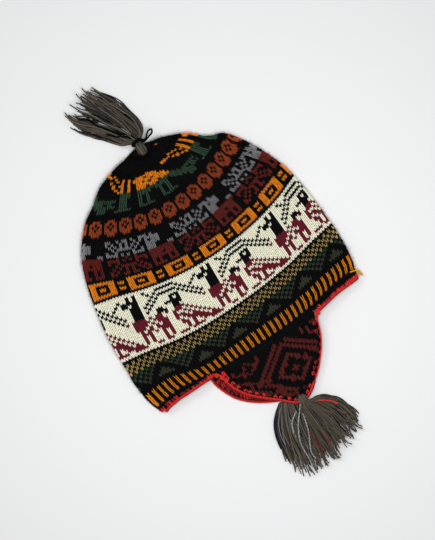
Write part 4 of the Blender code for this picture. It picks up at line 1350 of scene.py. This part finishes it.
def drawn_strand(plan, heights, steps=40):
    """A smooth path through places in plan, in millimetres, at given heights."""
    shares = np.linspace(0.0, 1.0, steps)
    path = even_line(plan, shares)
    return np.column_stack((path, np.interp(shares, np.linspace(0.0, 1.0, len(heights)), heights)))


def drawn_strands(table):
    """Single strands from a list of yarns, places in plan, heights and radii."""
    return [tubes(drawn_strand(plan, heights)[None], radius, 6, [yarn]) for yarn, plan, heights, radius in table]


def twisted(path, radius, pitch, yarns):
    """Two plies laid round each other along a path."""
    ahead = unit(np.gradient(path, axis=0))
    side = unit(np.cross(ahead, np.array((0.0, 0.0, 1.0))))
    rise = np.cross(side, ahead)
    turn = 2.0 * math.pi * distances(path) / pitch
    plies = []
    for start in (0.0, math.pi):
        angle = (turn + start)[:, None]
        plies.append(path + radius * 0.55 * (side * np.cos(angle) + rise * np.sin(angle)))
    return tubes(np.array(plies), radius * 0.62, 6, yarns)


def strands(outlines, neck_height, crest, count, neck_radius, wander, clumps, black, light=0.30, lead=None):
    """A tassel's loose strands. lead gives the first points of their paths."""
    paths, depth = strand_paths(*outlines, neck_height, crest, count, neck_radius, wander, clumps)
    if lead is not None:
        paths = np.concatenate((lead(paths[:, :1]), paths), axis=1)
    return tubes(paths, STRAND_RADIUS, STRAND_SIDES, strand_yarns(depth, black, light))


def build_tassels():
    """The three tassels and the tie at the top."""
    middle = TOP_KNOB_MIDDLE + np.array((0.0, 0.0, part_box("top_tassel")[1][2] - TOP_KNOB[2] / 2.0))
    end = middle + np.array((0.0, TOP_KNOB[1] / 2.0 + 0.0055, -TOP_KNOB[2] * 0.30))
    start = middle + np.array((0.0, TOP_KNOB[1] * 0.30, -TOP_KNOB[2] * 0.12))

    def lead(first):
        return start + (first - end) + (end - start) * np.linspace(0.0, 0.85, 4)[None, :, None]

    loose = strands(
        (TOP_LEFT, TOP_RIGHT, TOP_TIPS), end[2], crest=1.75, count=150, neck_radius=0.0028, wander=0.0017,
        clumps=10, black=0.30, lead=lead,
    )
    parts = [loose, wrapped_knob(middle, TOP_KNOB, 11)] + drawn_strands(TOP_ODD)
    add_piece("top_tassel_strands", *join(parts), "tassel_yarn", "top_tassel")
    build_tie(start, end, middle)

    tip = FRONT.at(np.array(FRONT_FLAP_MIDDLE * BODY_WIDTH), np.array(1.0))
    height = tip[2] + EDGING_DIAMETER / 2.0 + PIECE_GAP + FLAP_KNOB[2] / 2.0
    middle = np.array((tip[0], tip[1] + PIECE_GAP, height))
    loose = strands(
        (FRONT_LEFT, FRONT_RIGHT, FRONT_TIPS), middle[2] - 0.0008, crest=1.8, count=225, neck_radius=0.0024,
        wander=0.0016, clumps=14, black=0.03, light=0.10,
    )
    knob = wrapped_knob(middle, FLAP_KNOB * np.array((1.1, 1.15, 1.0)), 10)
    grey = [
        twisted(drawn_strand(plan, heights), GREY_RADIUS, GREY_PITCH, (PALE_GREY, LINT_GREY))
        for plan, heights in FRONT_ODD_GREY
    ]
    parts = [loose, knob] + grey + drawn_strands(FRONT_ODD)
    add_piece("front_tassel_strands", *join(parts), "tassel_yarn", "flap_tassel_front")

    tip = BACK.at(np.array((BACK.left[-1] + BACK.right[-1]) / 2.0), np.array(BACK.tip))
    reach = EDGING_DIAMETER + 2.0 * PIECE_GAP + BACK_KNOB[1] / 2.0
    middle = np.array((tip[0], tip[1] - reach, BACK_KNOB[2] / 2.0 + PIECE_GAP))
    loose = strands(
        (BACK_LEFT, BACK_RIGHT, BACK_TIPS), 0.0028, crest=0.95, count=115, neck_radius=0.0018, wander=0.0016,
        clumps=10, black=0.05,
    )
    parts = [loose, wrapped_knob(middle, BACK_KNOB, 9)] + drawn_strands(BACK_ODD)
    add_piece("back_tassel_strands", *join(parts), "tassel_yarn", "flap_tassel_back")


def build_tie(start, end, middle):
    """Black yarn tied round the neck, with a small loop standing off it."""
    ahead = (end - start) / np.linalg.norm(end - start)
    seat = middle[1] + TOP_KNOB[1] / 2.0 + 0.0010
    centre = start + ahead * (seat - start[1]) / ahead[1]
    across = unit(np.cross(ahead, np.array((0.0, 0.0, 1.0))))
    rise = np.cross(across, ahead)
    turn = np.linspace(0.0, 2.0 * math.pi, 61)[:-1]
    parts = []
    for number in range(TIE_RINGS):
        twist = 3.0 * turn + math.pi * number / 2.0
        reach = TIE_RING + TIE_RING_WAVE * np.cos(twist)
        path = centre + reach[:, None] * (np.cos(turn)[:, None] * across + np.sin(turn)[:, None] * rise)
        path += ahead * (0.0011 * np.sin(twist))[:, None]
        parts.append(tubes(path[None], TIE_RING_RADIUS, 6, [BLACK], reference=ahead, closed=True))
    knot = centre + across * 0.0047 + np.array((0.0, 0.0, 0.0005))
    x, y = knot[0] * 1000.0, knot[1] * 1000.0
    heights = (knot[2], *TIE_LOOP_HEIGHTS, knot[2] - 0.0012)
    loop = drawn_strand(((x - 0.5, y - 0.6), *TIE_LOOP, (x, 236.6)), heights, 48)
    parts.append(twisted(loop, TIE_LOOP_RADIUS, 0.0035, (BLACK, BLACK)))
    add_piece("top_tie_yarn", *join(parts), "tie_yarn", "top_tie")


def build_fuzz():
    """Loose wool fibres over the crown, most of them seen along its outline."""
    rows = RANDOM.uniform(0.0, ROWS, HAIR_COUNT)
    stitches = RANDOM.uniform(-HALF_FACE, STITCHES - HALF_FACE, HAIR_COUNT)
    near_fold = RANDOM.uniform(0.0, 1.0, HAIR_COUNT) < FOLD_SHARE
    fold = np.where(RANDOM.uniform(0.0, 1.0, HAIR_COUNT) < 0.5, -HALF_FACE, HALF_FACE)
    stitches = np.where(near_fold, fold + RANDOM.normal(0.0, FOLD_SPREAD, HAIR_COUNT), stitches)
    point, normal = crown_place(rows, stitches)
    wrapped = np.mod(stitches + HALF_FACE, STITCHES) - HALF_FACE
    yarns = np.array([
        yarn_at(int(row), math.floor(stitch) if row < PAIRED_ROW else round(stitch / 2.0))
        for row, stitch in zip(rows, wrapped)
    ])
    ahead = normal * RANDOM.uniform(0.3, 1.0, (HAIR_COUNT, 1))
    ahead = unit(ahead + RANDOM.normal(0.0, HAIR_LEAN, (HAIR_COUNT, 3)))
    curl = RANDOM.normal(0.0, HAIR_CURL, (HAIR_COUNT, 3))
    share = np.linspace(0.0, 1.0, 4)[None, :, None]
    reach = (HAIR_LENGTH * RANDOM.uniform(0.4, 1.0, HAIR_COUNT) ** 1.5)[:, None, None]
    roots = point - normal * HAIR_ROOT
    paths = roots[:, None] + reach * (ahead[:, None] * share + curl[:, None] * share ** 2)
    paths[..., 2] = np.maximum(paths[..., 2], FLOOR_CLEAR)
    add_piece("knit_fuzz", *tubes(paths, HAIR_RADIUS, 3, yarns, capped=False), "knit_crown", "crown")


def build_set():
    """A plain white floor, a broad soft light from above and the camera straight over the hat."""
    paper = bpy.data.materials.new("white_paper")
    paper.use_nodes = True
    fill(paper.node_tree.nodes["Principled BSDF"], Base_Color=(0.86, 0.865, 0.87, 1.0), Roughness=0.9)
    mesh = bpy.data.meshes.new("floor")
    mesh.from_pydata([(-3, -3, 0), (3, -3, 0), (3, 3, 0), (-3, 3, 0)], [], [(0, 1, 2, 3)])
    mesh.materials.append(paper)
    put("floor", mesh)
    scene = bpy.context.scene
    scene.world = bpy.data.worlds.new("studio")
    scene.world.use_nodes = True
    fill(scene.world.node_tree.nodes["Background"], Color=(1.0, 1.0, 1.0, 1.0), Strength=0.30)
    for name, place, size, power in (
        ("key_light", (-0.7, 1.5, 2.2), 0.9, 13.0),
        ("overhead_light", (0.03, -0.06, 0.80), 0.4, 4.5),
    ):
        light = bpy.data.lights.new(name, "AREA")
        light.size = size
        light.energy = power
        holder = put(name, light)
        holder.location = place
        holder.rotation_euler = (-Vector(place)).to_track_quat("-Z", "Y").to_euler()
        holder.visible_camera = False
    scene.view_settings.view_transform = "Standard"
    camera = bpy.data.cameras.new("overhead")
    camera.sensor_fit = "VERTICAL"
    camera.sensor_height = 36.0
    camera.lens = camera.sensor_height * CAMERA_HEIGHT / PHOTO_HEIGHT
    camera.clip_end = 20.0
    holder = put("overhead", camera)
    holder.location = (*CAMERA_PLACE, CAMERA_HEIGHT)
    holder.rotation_euler = (0.0, 0.0, math.atan2(-CAMERA_UP[0], CAMERA_UP[1]))
    scene.camera = holder


MATERIALS = make_materials()
CROWN_POINTS, CROWN_NORMALS = crown_grid()
FRONT = Flap(FRONT_FLAP, FRONT_FLAP_MIDDLE, True)
BACK = Flap(BACK_FLAP, BACK_FLAP_MIDDLE, False)
build_crown()
build_flap("front_flap_knit", "earflap_front", FRONT)
build_flap("back_flap_knit", "earflap_back", BACK)
build_edging()
build_tassels()
build_fuzz()
build_set()
